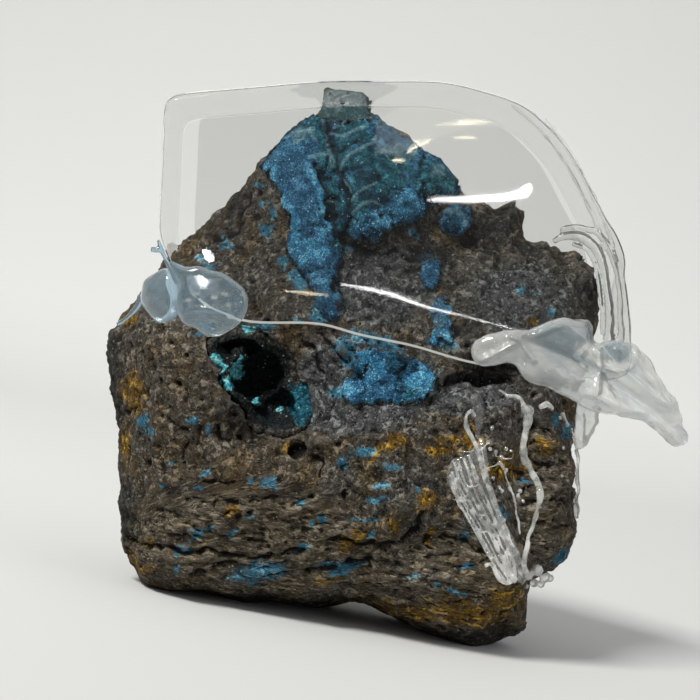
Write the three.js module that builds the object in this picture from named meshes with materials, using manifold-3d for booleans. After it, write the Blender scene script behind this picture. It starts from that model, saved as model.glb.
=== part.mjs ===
// A shattuckite specimen: a dark copper-ore matrix with a blue, fibrous shattuckite crust over its peak,
// a crust-lined vug in its face, and a clear plastic guard held over the crystals with hot-melt glue.
// Sizes are in millimetres. The specimen is shaped in its display pose: X runs to the right, Y away from
// the viewer and Z up. At the end the whole group is turned to the pose in which it stands on its base.
// Places on the face are given as they look from the front, as u to the right and v up.

import * as THREE from "three";
import { mergeVertices } from "three/addons/utils/BufferGeometryUtils.js";
import { ImprovedNoise } from "three/addons/math/ImprovedNoise.js";
import Module from "manifold-3d";

// Driving dimensions
const EYE_DISTANCE = 200; // the front view is seen from this far in front of the plane y = 0
const STAND_TURN = THREE.MathUtils.degToRad(10.5); // from the display pose to the standing one
const BASE_LEFT = { x: -25.3, z: -30.9 }; // a point of the plane that it stands on
const GAP = 0.35; // clearance between neighbouring pieces
const ROCK_DETAIL = 12; // subdivision of the rock's starting ball
const FACE_DEPTH = -15; // how far the lower face stands in front of y = 0
const PEAK_DEPTH = -5; // the same at the peak, so the face leans back
const HEEL_DEPTH = 17; // how far the foot of the back stands behind y = 0
const CREST_DEPTH = 9; // the same at the peak
const HEART = { u: 0, v: -3 }; // the middle that the outline is star-shaped around
const COVER_FRONT = -19; // the guard's outer face
const COVER_BACK = 1.5; // the cut edge of its rim
const COVER_WALL = 0.6;
const COVER_EDGE_RADIUS = 1.6;
const LINING = 1.1; // thickness of the crust in the vug

const wasm = await Module();
wasm.setup();
const perlin = new ImprovedNoise();

// Solids and geometries

function welded(geometry) {
  const bare = geometry.clone();
  bare.deleteAttribute("normal");
  bare.deleteAttribute("uv");
  return mergeVertices(bare, 1e-5);
}

function solidOf(geometry) {
  const { attributes, index } = welded(geometry);
  return new wasm.Manifold(
    new wasm.Mesh({
      numProp: 3,
      vertProperties: attributes.position.array,
      triVerts: new Uint32Array(index.array),
    }),
  );
}

function geometryOf(solid) {
  const mesh = solid.getMesh();
  return new THREE.BufferGeometry()
    .setAttribute("position", new THREE.BufferAttribute(mesh.vertProperties, 3))
    .setIndex(new THREE.BufferAttribute(mesh.triVerts, 1));
}

function joined(solids) {
  return solids.reduce((sum, solid) => sum.add(solid));
}

// A boolean can leave crumbs, and each piece is one body.
function largest(solid) {
  return solid.decompose().reduce((a, b) => (b.volume() > a.volume() ? b : a));
}

// Small shared helpers

// A soft step from 0 to 1 as value goes from one number to the other, in either direction
function smooth(from, to, value) {
  return THREE.MathUtils.smoothstep((value - from) / (to - from), 0, 1);
}

// The real place of a point that looks to be at (u, v) and lies at depth y
function placed(u, v, y) {
  const k = (EYE_DISTANCE + y) / EYE_DISTANCE;
  return new THREE.Vector3(u * k, y, v * k);
}

function noise(point, wavelength, seed) {
  const s = 1 / wavelength;
  return perlin.noise(point.x * s + seed, point.y * s - seed, point.z * s + 0.5);
}

function shapedBall(detail, shape) {
  const geometry = welded(new THREE.IcosahedronGeometry(1, detail));
  const position = geometry.attributes.position;
  const corner = new THREE.Vector3();
  for (let i = 0; i < position.count; i++) {
    corner.fromBufferAttribute(position, i);
    position.setXYZ(i, ...shape(corner.clone().normalize()).toArray());
  }
  return geometry;
}

// A knobbly ellipsoid. Its half sizes run across, through and up, turn is counter-clockwise in degrees,
// and facing is the direction in which its front looks.
function lump(centre, half, { turn = 0, facing = null, detail = 1, rough = 0.07, seed = 1 } = {}) {
  const geometry = shapedBall(detail, (d) =>
    d.clone().multiplyScalar(1 + rough * noise(d, 0.45, seed + 0.37)),
  );
  geometry.scale(...half);
  geometry.rotateY(THREE.MathUtils.degToRad(-turn));
  if (facing) {
    const lean = new THREE.Quaternion().setFromUnitVectors(new THREE.Vector3(0, -1, 0), facing);
    geometry.applyQuaternion(lean);
  }
  geometry.translate(centre.x, centre.y, centre.z);
  return solidOf(geometry);
}

// One closed surface: a pole, rings with equally many points, and another pole
function ringSolid(first, rings, last) {
  const points = [first, ...rings.flat(), last];
  const count = rings[0].length;
  const at = (ring, i) => 1 + ring * count + (i % count);
  const faces = [];
  for (let i = 0; i < count; i++) {
    faces.push(0, at(0, i + 1), at(0, i));
    for (let ring = 0; ring + 1 < rings.length; ring++) {
      faces.push(at(ring, i), at(ring, i + 1), at(ring + 1, i));
      faces.push(at(ring, i + 1), at(ring + 1, i + 1), at(ring + 1, i));
    }
    faces.push(at(rings.length - 1, i), at(rings.length - 1, i + 1), points.length - 1);
  }
  return solidOf(new THREE.BufferGeometry().setFromPoints(points).setIndex(faces));
}

// What a solid's front shows to the viewer at (u, v): the point there and the way it faces
function frontOf(solid) {
  const mesh = new THREE.Mesh(geometryOf(solid), new THREE.MeshBasicMaterial({ side: THREE.DoubleSide }));
  const eye = new THREE.Vector3(0, -EYE_DISTANCE, 0);
  const pointAt = (u, v) => {
    const ray = new THREE.Raycaster(eye, placed(u, v, 0).sub(eye).normalize());
    const [hit] = ray.intersectObject(mesh);
    return hit ? hit.point : placed(u, v, 0);
  };
  const facingAt = (u, v, step = 1.6) => {
    const right = pointAt(u + step, v).sub(pointAt(u - step, v));
    const up = pointAt(u, v + step).sub(pointAt(u, v - step));
    const out = right.cross(up).normalize();
    return out.y > 0 ? out.negate() : out;
  };
  return { pointAt, facingAt };
}

// The outline of the rock as it looks from the front, counter-clockwise from the right
const ROCK_OUTLINE = [
  [33.2, 3.8], [33.4, 8.4], [33, 11], [32.4, 12.4], [30, 12.8], [28, 13.3], [26, 14.2], [23.7, 14.4],
  [22.2, 15.2], [21.4, 16.3], [21.6, 17.2], [20.8, 18.4], [18.6, 18.7], [16.2, 19], [14.8, 21.4],
  [13.3, 22.7], [12.6, 24.6], [11.6, 25.6], [9.7, 27], [8.8, 28], [6.6, 29], [4.4, 30.2], [2.4, 31],
  [2.3, 32.4], [1.4, 33.5], [-0.4, 34.3], [-4.2, 34.3], [-4.4, 31.8], [-6.6, 30.7], [-8.6, 29.6],
  [-10.1, 27.2], [-12.4, 24.8], [-13.4, 22.4], [-16, 20.4], [-18.9, 18.4], [-20.6, 16.8], [-22.4, 14.6],
  [-24, 13], [-25.9, 10.6], [-27.8, 8.2], [-30.6, 3.9], [-33.1, 1.3], [-31.9, -0.7], [-32.6, -2.8],
  [-33.2, -6.4], [-31.6, -9.4], [-31, -14.6], [-31.3, -20], [-31, -25], [-28.8, -30.6], [-27.2, -32.3],
  [-24.6, -32.6], [-22.4, -31.7], [-20.8, -31.9], [-17, -32.9], [-13.9, -34.2], [-10, -33.5],
  [-4.8, -34.2], [0, -33.4], [2.6, -33.8], [6.4, -35.8], [8.6, -36.9], [9.3, -38.2], [13.6, -39.3],
  [16.8, -40.6], [19.4, -39.3], [20.4, -38.1], [23.1, -37.8], [23.6, -34.2], [23.5, -31.6],
  [25.6, -29.6], [29.9, -28.2], [29.6, -23.4], [30.2, -18.8], [29.8, -12.6], [30.1, -7.2], [31.2, -3.4],
  [32, 0.4],
];

// How far the outline reaches from the heart at each half degree
const REACH_STEPS = 720;
const reachTable = Array.from({ length: REACH_STEPS }, (_, i) => {
  const turn = (i / REACH_STEPS) * 2 * Math.PI;
  const [c, s] = [Math.cos(turn), Math.sin(turn)];
  return ROCK_OUTLINE.reduce((far, [u0, v0], k) => {
    const [u1, v1] = ROCK_OUTLINE[(k + 1) % ROCK_OUTLINE.length];
    const [pu, pv] = [u0 - HEART.u, v0 - HEART.v];
    const [eu, ev] = [u1 - u0, v1 - v0];
    const cross = c * ev - s * eu;
    const along = (pu * ev - pv * eu) / cross;
    const share = (pu * s - pv * c) / cross;
    return along > 0 && share >= 0 && share <= 1 ? Math.max(far, along) : far;
  }, 0);
});

function reachAt(turn) {
  const i = ((turn / (2 * Math.PI)) * REACH_STEPS + REACH_STEPS) % REACH_STEPS;
  const low = Math.floor(i);
  return THREE.MathUtils.lerp(reachTable[low], reachTable[(low + 1) % REACH_STEPS], i - low);
}

// The main forms of the face: where each is, its half sizes, its turn in degrees and how far it sinks in
// (plus) or stands out (minus)
const FACE_FORMS = [
  { name: "left shoulder", at: [-23, -4], half: [7, 11], turn: 12, sink: -1.6 },
  { name: "valley beside the vug", at: [-7.5, -3], half: [5, 8], turn: 20, sink: 3 },
  { name: "hollow under the left slope", at: [-14, 11], half: [6, 5], turn: -40, sink: 1.4 },
  { name: "rib below the crust", at: [-8, 6], half: [3.5, 7], turn: 15, sink: -1.6 },
  { name: "undercut below the right block", at: [18.5, -3.4], half: [5.5, 2.2], turn: 3, sink: 4.5 },
  { name: "right block", at: [23, 7], half: [10, 7], turn: -8, sink: -1.2 },
  { name: "dark notch beside the knob", at: [17.5, 14.5], half: [3.6, 3], turn: 0, sink: 1.8 },
  { name: "vug lip, upper", at: [-20.5, 0], half: [3, 4], turn: 10, sink: -1.2 },
  { name: "vug lip, lower", at: [-17, -7.5], half: [3.4, 2.6], turn: -35, sink: -1.4 },
  { name: "sparkling bank", at: [-0.5, -11.5], half: [6, 2.4], turn: 10, sink: -1.1 },
  { name: "right bank", at: [9, -11], half: [5, 2.6], turn: -5, sink: -1 },
  { name: "saddle in the middle", at: [4.5, 7], half: [3.6, 4], turn: 0, sink: -1 },
  { name: "belly", at: [-4, -20], half: [18, 8], turn: 4, sink: -1.4 },
  { name: "pit below the vug", at: [-6.4, -13], half: [1.6, 2.2], turn: 20, sink: 2.4 },
  { name: "bedding step", at: [8, -26], half: [14, 2], turn: 14, sink: 1.2 },
  { name: "right lower face", at: [25, -17], half: [6, 10], turn: 0, sink: 1.2 },
  { name: "fold under the peak", at: [-2.3, 22], half: [1.4, 8], turn: -8, sink: 1.6 },
  { name: "bulge under the fans", at: [3.5, 20], half: [7, 7], turn: 0, sink: -2.6 },
  { name: "bulge under the left band", at: [-7.5, 20], half: [4, 8], turn: 22, sink: -1.6 },
  { name: "mat bed", at: [4.5, -4], half: [7, 3.4], turn: -4, sink: 1.2 },
];

// The lower face is bedded: each wavy layer stands a little proud of the one below it
const LAYER = 4.6;

function bedding(u, v) {
  const level = (v + 0.09 * u + 1.1 * Math.sin(0.17 * u + 1) + 0.5 * Math.sin(0.43 * u)) / LAYER;
  const share = level - Math.floor(level);
  return 1.3 * (share - 0.5) * smooth(-8, -14, v);
}

function frontDepth(u, v) {
  let y = THREE.MathUtils.lerp(FACE_DEPTH, PEAK_DEPTH, smooth(-8, 34, v));
  y += 0.014 * u * u * smooth(0, 26, v); // both flanks of the peak fall away
  y += 8 * smooth(-25, -34, u);
  y += 5 * smooth(27, 34, u);
  y += 6 * smooth(-31, -42, v); // and so does the foot
  for (const { at, half, turn, sink } of FACE_FORMS) {
    const a = THREE.MathUtils.degToRad(turn);
    const [du, dv] = [u - at[0], v - at[1]];
    const across = (du * Math.cos(a) + dv * Math.sin(a)) / half[0];
    const up = (dv * Math.cos(a) - du * Math.sin(a)) / half[1];
    y += sink * Math.exp(-((across * across + up * up) ** 2));
  }
  return y + bedding(u, v);
}

function backDepth(u, v) {
  const lean = THREE.MathUtils.lerp(HEEL_DEPTH, CREST_DEPTH, smooth(-20, 34, v));
  const hump = 2.2 * Math.exp(-(((u + 8) / 14) ** 2 + ((v + 8) / 16) ** 2));
  return lean + hump - 3 * smooth(14, 32, u);
}

// Broad broken faces of the back: the way each looks out and how far it lies from the heart
const BREAKS = [
  { out: [0.35, 0.9, 0.25], reach: 15.5 },
  { out: [-0.4, 0.85, 0.3], reach: 16.5 },
  { out: [0.75, 0.62, -0.2], reach: 26 },
  { out: [-0.8, 0.6, -0.1], reach: 25 },
  { out: [0.1, 0.86, -0.5], reach: 24 },
  { out: [-0.62, 0.3, 0.72], reach: 24.5 },
  { out: [0.66, 0.34, 0.67], reach: 25.5 },
];

// A rounded slab between the two depths: squareness 2 is round and larger numbers are boxier
const FRONT_SQUARENESS = 5;
const BACK_SQUARENESS = 3.2;
const POLE_CROWDING = 1.7; // above 1, more of the ball's faces go to the front and back

function rockPoint(direction) {
  const d = new THREE.Vector3(direction.x, direction.y * POLE_CROWDING, direction.z).normalize();
  const turn = Math.atan2(d.z, d.x);
  const squareness = d.y < 0 ? FRONT_SQUARENESS : BACK_SQUARENESS;
  const out = Math.hypot(d.x, d.z);
  const fit = (out ** squareness + Math.abs(d.y) ** squareness) ** (-1 / squareness);
  const reach = reachAt(turn) * out * fit;
  const [u, v] = [HEART.u + reach * Math.cos(turn), HEART.v + reach * Math.sin(turn)];
  const [front, back] = [frontDepth(u, v), backDepth(u, v)];
  const middle = (front + back) / 2;
  const y = middle + (back - middle) * d.y * fit;
  const point = placed(u, v, y);
  for (const { out: way, reach: limit } of BREAKS) {
    const normal = new THREE.Vector3(...way).normalize();
    const proud = point.dot(normal) - limit;
    if (proud > 0) {
      point.addScaledVector(normal, -0.85 * proud);
    }
  }
  const rough = 0.8 * noise(point, 8, 3.1) + 0.6 * noise(point, 3.7, 7.7);
  return point.addScaledVector(d, rough);
}

// The vug is a few rounded pockets that run together: place, depth, half sizes and turn
const VUG_POCKETS = [
  { at: [-14.6, -0.1], depth: -12, half: [4.4, 7.5, 3], turn: 0 },
  { at: [-12.4, -3.4], depth: -11, half: [5.2, 7.5, 5], turn: 18 },
  { at: [-9.8, -7.4], depth: -12, half: [4.8, 6.5, 4], turn: -12 },
];

function vug(shrink, detail = 2) {
  return joined(
    VUG_POCKETS.map(({ at, depth, half, turn }, i) => {
      const size = half.map((h) => h - shrink);
      return lump(placed(...at, depth), size, { turn, detail, rough: 0.12, seed: i + 2 });
    }),
  );
}

// The squared grey block at the peak, behind the crust
function peakBlock() {
  const geometry = new THREE.BoxGeometry(6.2, 6.5, 9);
  const position = geometry.attributes.position;
  for (let i = 0; i < position.count; i++) {
    const corner = new THREE.Vector3().fromBufferAttribute(position, i);
    const shrink = corner.z > 0 ? 0.86 + 0.5 * noise(corner, 5.3, 4.4) : 1;
    position.setXYZ(i, corner.x * shrink, corner.y * shrink, corner.z);
  }
  geometry.rotateY(THREE.MathUtils.degToRad(7));
  return solidOf(geometry).translate(placed(-1.1, 29.9, 3).toArray());
}

const wholeRock = solidOf(shapedBall(ROCK_DETAIL, rockPoint)).add(peakBlock());

const groundBox = new THREE.BoxGeometry(200, 200, 60);
groundBox.translate(0, 0, -30);
groundBox.rotateY(STAND_TURN);
groundBox.translate(BASE_LEFT.x, 0, BASE_LEFT.z);

const rock = largest(wholeRock.subtract(vug(0)).subtract(solidOf(groundBox)));
const front = frontOf(rock);

// A solid and its clearance: the room that it needs when shifted a little each way
function room(solid, shifts) {
  return joined([solid, ...shifts.map((shift) => solid.translate(shift))]);
}

const TOWARDS_VIEWER = [0, -GAP, 0];
const UP = [0, 0, GAP];
const LEFT = [-GAP, 0, 0];
const RIGHT = [GAP, 0, 0];
const rockRoom = room(rock, [TOWARDS_VIEWER, UP]);

// Blue crusts. Each is a mat that has grown on the face, bounded by an outline that runs clockwise.
const LEFT_BAND = {
  heart: [-6.4, 18],
  outline: [
    [-11.7, 25.1], [-10.9, 26.7], [-9.3, 28.8], [-7.2, 30.8], [-4.3, 31.5], [-2.7, 29.3], [-2.1, 24.7],
    [-1.9, 19.3], [-0.9, 14.7], [-0.5, 12.5], [-1.3, 10.9], [-1.9, 8.3], [-1.3, 5.6], [-2.1, 3.2], [-3.5, 3.7],
    [-4.7, 6.7], [-5.6, 9.2], [-7.5, 11.3], [-8.5, 12.8], [-8.3, 14.7], [-7.6, 17.1], [-8.8, 18.9],
    [-9.9, 21.5], [-10.9, 23.1],
  ],
  height: 1.5,
};
const RIGHT_FANS = {
  heart: [3.7, 22],
  outline: [
    [-4.8, 31.2], [-2.7, 32], [0, 31.9], [2.7, 31.1], [5.1, 29.9], [8, 28], [10.7, 26.1], [12.5, 24.5],
    [14.8, 21.6], [14.5, 20.1], [12.3, 19.7], [10.4, 18.9], [9.7, 17.1], [7.7, 16.9], [6.1, 16.5],
    [4.8, 15.2], [3.3, 13.9], [1.1, 14.4], [-0.8, 14.7], [-2.1, 17.1], [-2.7, 20.7], [-3.5, 24.7],
    [-4.5, 28.3],
  ],
  height: 1.7,
};
const KNOB = {
  heart: [13.7, 16.9],
  outline: [
    [11.7, 17.1], [12.3, 18.7], [13.7, 19.1], [15.2, 18.4], [15.7, 16.9], [15.1, 15.5], [13.6, 14.9],
    [12.3, 15.6],
  ],
  height: 1.9,
};
const UPPER_STREAK = {
  heart: [10.8, 10.1],
  outline: [
    [9.2, 10], [9.5, 11.7], [10.5, 12.5], [11.7, 12.3], [12.4, 10.8], [12.1, 9.2], [11.5, 7.9], [10.3, 7.7],
    [9.5, 8.5],
  ],
  height: 0.7,
};
const LOWER_STREAK = {
  heart: [12.3, 4.3],
  outline: [
    [10.8, 6], [11.5, 7.5], [12.8, 7.2], [13.6, 5.3], [14, 3.3], [14.3, 1.2], [13.7, -0.3], [12.9, 0.9],
    [12.1, 1.9], [11.5, 0.3], [10.5, 0], [10.7, 2], [11.2, 4],
  ],
  height: 0.7,
};
const LOWER_PATCH = {
  heart: [4.7, -3.7],
  outline: [
    [-1.6, -5.3], [-0.5, -4], [0.5, -2.7], [0.3, -1.1], [1.6, 0.3], [4, 0.3], [6.4, -0.1], [8.5, -0.8],
    [10.3, -1.9], [11.2, -3.2], [11.5, -4.9], [10.8, -6.4], [8.5, -7.2], [5.9, -7.3], [3.2, -7.2],
    [0.5, -7.2], [-1.2, -6.5],
  ],
  height: 1,
};

// The fans and cushions that swell out of the mats: place, radius and how much higher each is
const CUSHIONS = [
  [-0.4, 25, 3, 0.9], [2.8, 27, 2.6, 0.7], [3.4, 21.2, 3.2, 1.5], [6.4, 18.9, 2.6, 1.2], [8.8, 21.4, 2.4, 0.9],
  [1.6, 17.4, 2.4, 1], [-6, 25.4, 2.8, 0.9], [-6.2, 17.6, 2.6, 0.7], [-5, 13.2, 2.4, 0.5], [10, -5, 2, 1.1],
  [6.6, -3.2, 2.6, 0.6], [2, -5.6, 2, 0.4],
];

function cushionAt(u, v) {
  const swell = CUSHIONS.map(([cu, cv, radius, height]) => {
    const away = ((u - cu) ** 2 + (v - cv) ** 2) / radius ** 2;
    return height * Math.sqrt(Math.max(0, 1 - away));
  });
  return Math.max(...swell);
}

// From the outline inwards, a mat rises steeply to its full height.
const MAT_RINGS = [
  { share: 0.32, rise: 1 }, { share: 0.66, rise: 1 }, { share: 0.92, rise: 0.75 }, { share: 1, rise: 0 },
];
const ROOT = 1.2; // how far a mat's underside starts below the face before the rock is taken off it

function mat({ heart, outline, height }, count = 30) {
  const edge = new THREE.CatmullRomCurve3(
    outline.map(([u, v]) => new THREE.Vector3(u, v, 0)),
    true,
    "centripetal",
  );
  const grownOut = (u, v, rise) => {
    const out = rise * (height + cushionAt(u, v)) + (rise < 0 ? 0 : GAP);
    return front.pointAt(u, v).addScaledVector(front.facingAt(u, v), out);
  };
  const ring = (share, rise) =>
    Array.from({ length: count }, (_, i) => {
      const { x, y } = edge.getPointAt(i / count);
      const u = THREE.MathUtils.lerp(heart[0], x, share);
      const v = THREE.MathUtils.lerp(heart[1], y, share);
      return rise < 0 ? rooted(u, v) : grownOut(u, v, rise);
    });
  const rooted = (u, v) => front.pointAt(u, v).addScaledVector(front.facingAt(u, v), -ROOT);
  return ringSolid(
    grownOut(...heart, 1),
    [...MAT_RINGS.map(({ share, rise }) => ring(share, rise)), ring(0.9, -1)],
    rooted(...heart),
  );
}

function crust(mats) {
  return largest(joined(mats).subtract(rockRoom));
}

const shattuckiteCrust = crust([mat(LEFT_BAND, 32), mat(RIGHT_FANS, 32)]);
const knob = largest(crust([mat(KNOB, 12)]).subtract(room(shattuckiteCrust, [RIGHT])));
const upperStreak = crust([mat(UPPER_STREAK, 10)]);
const lowerStreak = crust([mat(LOWER_STREAK, 16)]);
const lowerPatch = crust([mat(LOWER_PATCH, 24)]);

// The vug's lining: a thin shell just inside the pockets, with lumps that stand on it
const VUG_LUMPS = [
  { at: [-17, -1.9], depth: -11.6, half: [1.5, 2.4, 2.2], turn: 10 },
  { at: [-15, -0.9], depth: -10.8, half: [1.3, 2.2, 1.5], turn: -30 },
  { at: [-6, -6.8], depth: -12, half: [1.6, 2.6, 3], turn: 12 },
  { at: [-12.2, -7.2], depth: -9.6, half: [0.9, 2, 0.8], turn: 0 },
  { at: [-18.2, 1.8], depth: -13, half: [1.8, 2, 0.9], turn: 20 },
];

const pocket = vug(GAP);
const hollow = vug(GAP + LINING, 1).translate([0, -0.8, 0]);
const vugLumps = joined(
  VUG_LUMPS.map(({ at, depth, half, turn }, i) =>
    lump(placed(...at, depth), half, { turn, rough: 0.2, seed: 71 + i }),
  ),
);
const underFace = wholeRock.translate([0, 2 * GAP, 0]);
const vugCrust = largest(pocket.subtract(hollow).add(vugLumps.intersect(pocket)).intersect(underFace));

// The clear guard: a tray of formed plastic, cut open at the back. This is its front edge as it looks from
// the front, clockwise from the upper left.
const COVER_OUTLINE = [
  [-23.2, 34.3], [-14, 35.2], [-4.4, 36], [4, 36.1], [12.1, 36], [17.6, 34.8], [23.1, 32.9], [27.1, 29.5],
  [29.9, 26.1], [32.5, 21.2], [34.8, 16.9], [36.7, 12.5], [37.2, 7.3], [37.7, 3.3], [37.9, -1.2], [36.4, -3.8],
  [28, -3.8], [16, -1.3], [8, 0.4], [-3.5, 3.2], [-14, 3.2], [-20, 5.3], [-22.9, 8.7], [-24.5, 12.7],
  [-25.6, 15.9], [-25.2, 25.1], [-24.8, 33],
];
const COVER_STEPS = 42;
const coverEdge = new THREE.CatmullRomCurve3(
  COVER_OUTLINE.map(([u, v]) => placed(u, v, COVER_FRONT)),
  true,
  "centripetal",
);
const coverMiddle = new THREE.Vector3(3.5, COVER_FRONT, 15);

function coverRing(inset, y) {
  return Array.from({ length: COVER_STEPS }, (_, i) => {
    const point = coverEdge.getPointAt(i / COVER_STEPS);
    const along = coverEdge.getTangentAt(i / COVER_STEPS);
    return new THREE.Vector3(point.x + inset * along.z, y, point.z - inset * along.x);
  });
}

// The tray's wall between an outer inset of minus spare and an inner one, as one shell
function coverTray(spare) {
  const side = (inset) => {
    const face = COVER_FRONT + inset;
    const radius = COVER_EDGE_RADIUS - inset;
    const bends = [0, 45, 90].map((angle) => {
      const a = THREE.MathUtils.degToRad(angle);
      return coverRing(COVER_EDGE_RADIUS - radius * Math.cos(a), face + radius * (1 - Math.sin(a)));
    });
    return [coverRing(inset, COVER_BACK + spare), ...bends];
  };
  const outer = side(-spare);
  const inner = side(COVER_WALL + spare);
  return ringSolid(
    coverMiddle.clone().setY(COVER_FRONT - spare),
    [...outer.reverse(), ...inner],
    coverMiddle.clone().setY(COVER_FRONT + COVER_WALL + spare),
  );
}

// What grew, with a clearance towards the viewer, to both sides and above
const grown = joined([rock, shattuckiteCrust, knob, upperStreak, lowerStreak, lowerPatch]);
const grownRoom = room(grown, [TOWARDS_VIEWER, UP, LEFT, RIGHT]);
const cover = largest(coverTray(0).subtract(grownRoom));
const coverRoom = coverTray(GAP);

// Hot-melt glue. A run is squeezed out along a path whose stations give its place, depth, half width across
// the path and half thickness through it.
function glueRun(stations, { steps = 14, sides = 8 } = {}) {
  const centres = new THREE.CatmullRomCurve3(stations.map(([u, v, depth]) => placed(u, v, depth)));
  const sizes = new THREE.CatmullRomCurve3(
    stations.map(([, , , width, thickness]) => new THREE.Vector3(width, thickness, 0)),
  );
  const ring = (t) => {
    const centre = centres.getPoint(t);
    const along = centres.getTangent(t);
    const across = new THREE.Vector3(-along.z, 0, along.x).normalize();
    const through = across.clone().cross(along).normalize();
    const { x: width, y: thickness } = sizes.getPoint(t);
    return Array.from({ length: sides }, (_, i) => {
      const a = (i / sides) * 2 * Math.PI;
      return centre
        .clone()
        .addScaledVector(across, width * Math.cos(a))
        .addScaledVector(through, -thickness * Math.sin(a));
    });
  };
  const tip = (t, sign) =>
    centres.getPoint(t).addScaledVector(centres.getTangent(t), sign * 0.7 * sizes.getPoint(t).x);
  const rings = Array.from({ length: steps + 1 }, (_, i) => ring(i / steps));
  return ringSolid(tip(0, -1), rings, tip(1, 1));
}

const LEFT_BEAD = [
  { at: [-18.4, 6.4], depth: -20.5, half: [4.3, 1.7, 4.1], turn: 0 },
  { at: [-17.8, 2.4], depth: -17.6, half: [3, 3.2, 1.7], turn: 8 },
  { at: [-22.6, 5], depth: -17.6, half: [2.2, 3, 2], turn: 0 },
  { at: [-25.3, 7.7], depth: -14.5, half: [2.5, 3.4, 3], turn: 20 },
  { at: [-26.2, 4.9], depth: -12, half: [2, 3, 2.6], turn: 30 },
];
const RIGHT_BEAD = [
  [16.5, -0.9, -18.6, 0.7, 0.6], [18.7, 0, -19.2, 1.5, 1.2], [22, 0.3, -19.6, 2.1, 1.8],
  [26, -0.4, -19, 3.8, 2.6], [30, -1.1, -18, 4.7, 3], [34, -3.7, -16.5, 4.4, 3], [38, -5, -15, 4.1, 2.6],
  [40.7, -7.7, -14, 3.1, 2], [42.6, -10.2, -13.4, 2, 1.5], [44.4, -11.9, -13, 0.9, 0.9],
];
const RIGHT_SEAM = [
  [27.5, 14.9, -13, 0.6, 0.8], [30.4, 14.1, -12.5, 1, 1.2], [33.3, 11.7, -12, 1.2, 1.6],
  [35.2, 8.7, -12, 1.3, 1.8], [36, 5.3, -12, 1.3, 2], [35.6, 2, -12.6, 1.5, 2.2], [35, -0.6, -13, 1.6, 2.2],
];
const GLUE_FLAP = [
  [30.4, -6, -9, 1, 0.8], [31.6, -8.6, -7, 1.8, 1], [31.4, -11, -6, 1.6, 1], [30.6, -12.6, -6, 0.8, 0.7],
];

const leftLumps = LEFT_BEAD.map(({ at, depth, half, turn }, i) =>
  lump(placed(...at, depth), half, { turn, detail: i < 1 ? 2 : 1, rough: 0.05, seed: 81 + i }),
);
const glueBeadLeft = largest(joined(leftLumps).subtract(grownRoom).subtract(coverRoom));
const rightRuns = joined([glueRun(RIGHT_BEAD, { steps: 16, sides: 10 }), glueRun(GLUE_FLAP, { steps: 6 })]);
const glueBeadRight = largest(rightRuns.subtract(grownRoom).subtract(coverRoom));
const beadRoom = room(glueBeadRight, [UP, [0, GAP, 0], RIGHT]);
const glueSeamRight = largest(
  glueRun(RIGHT_SEAM).subtract(grownRoom).subtract(coverRoom).subtract(beadRoom),
);

// The web of glue threads on the lower right of the face: place and half width of each station
const THREADS = [
  [[17.1, -5.6, 0.5], [17.6, -8.3, 0.6], [17.4, -10.7, 0.8], [16, -14, 1.5], [16, -16.7, 2.2], [17.7, -20, 2.1],
    [19.3, -23.3, 1.6], [21, -26.7, 1.4], [22.1, -29.6, 1.4], [22.7, -31, 1.2]],
  [[19.9, -5.6, 0.4], [22.8, -7.1, 0.5], [23.9, -8.4, 1], [23.3, -11.3, 0.8], [23.7, -14, 0.7], [24.8, -16.7, 0.7],
    [25.5, -18.9, 0.7], [24.8, -21.3, 0.5], [24.3, -24, 0.5], [23.6, -27.3, 0.5], [23.3, -30.2, 0.6]],
  [[17.4, -9.3, 0.4], [15.3, -9.8, 0.35], [15.6, -12.3, 0.35], [17.4, -15.2, 0.4], [19.4, -18, 0.45],
    [20, -22.7, 0.5], [21.3, -27, 0.5], [22.5, -30.2, 0.6]],
  [[20.8, -30, 0.7], [22.4, -30.6, 1], [24, -30, 1.3], [25.4, -29.6, 0.8]],
];

function thread(stations) {
  const laid = stations.map(([u, v, width]) => {
    const thickness = Math.min(width, 0.7);
    return [u, v, front.pointAt(u, v).y - GAP - 0.6 * thickness, width, thickness];
  });
  return glueRun(laid, { steps: stations.length + 2, sides: 5 });
}

const glueThreads = largest(
  joined(THREADS.map(thread)).subtract(rockRoom).subtract(room(glueBeadRight, [[0, 0, -GAP]])),
);

// The assembly

const FINISHES = {
  rock: { color: 0x4a443d, roughness: 0.85, metalness: 0 },
  shattuckite: { color: 0x2a6fa8, roughness: 0.6, metalness: 0 },
  vugCrust: { color: 0x17302f, roughness: 0.5, metalness: 0 },
  clearPlastic: { color: 0xe8eced, roughness: 0.05, metalness: 0, transparent: true, opacity: 0.3 },
  glue: { color: 0xdfe4e6, roughness: 0.2, metalness: 0, transparent: true, opacity: 0.7 },
};

const specimen = new THREE.Group();

function addPiece(name, solid, finish) {
  const piece = new THREE.Mesh(geometryOf(solid), new THREE.MeshStandardMaterial(FINISHES[finish]));
  piece.name = name;
  specimen.add(piece);
}

addPiece("matrix", rock, "rock");
addPiece("shattuckite_crust", shattuckiteCrust, "shattuckite");
addPiece("shattuckite_knob", knob, "shattuckite");
addPiece("shattuckite_streak_upper", upperStreak, "shattuckite");
addPiece("shattuckite_streak_lower", lowerStreak, "shattuckite");
addPiece("shattuckite_lower_patch", lowerPatch, "shattuckite");
addPiece("vug_crust", vugCrust, "vugCrust");
addPiece("clear_cover", cover, "clearPlastic");
addPiece("glue_bead_left", glueBeadLeft, "glue");
addPiece("glue_bead_right", glueBeadRight, "glue");
addPiece("glue_seam_right", glueSeamRight, "glue");
addPiece("glue_threads", glueThreads, "glue");

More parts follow.
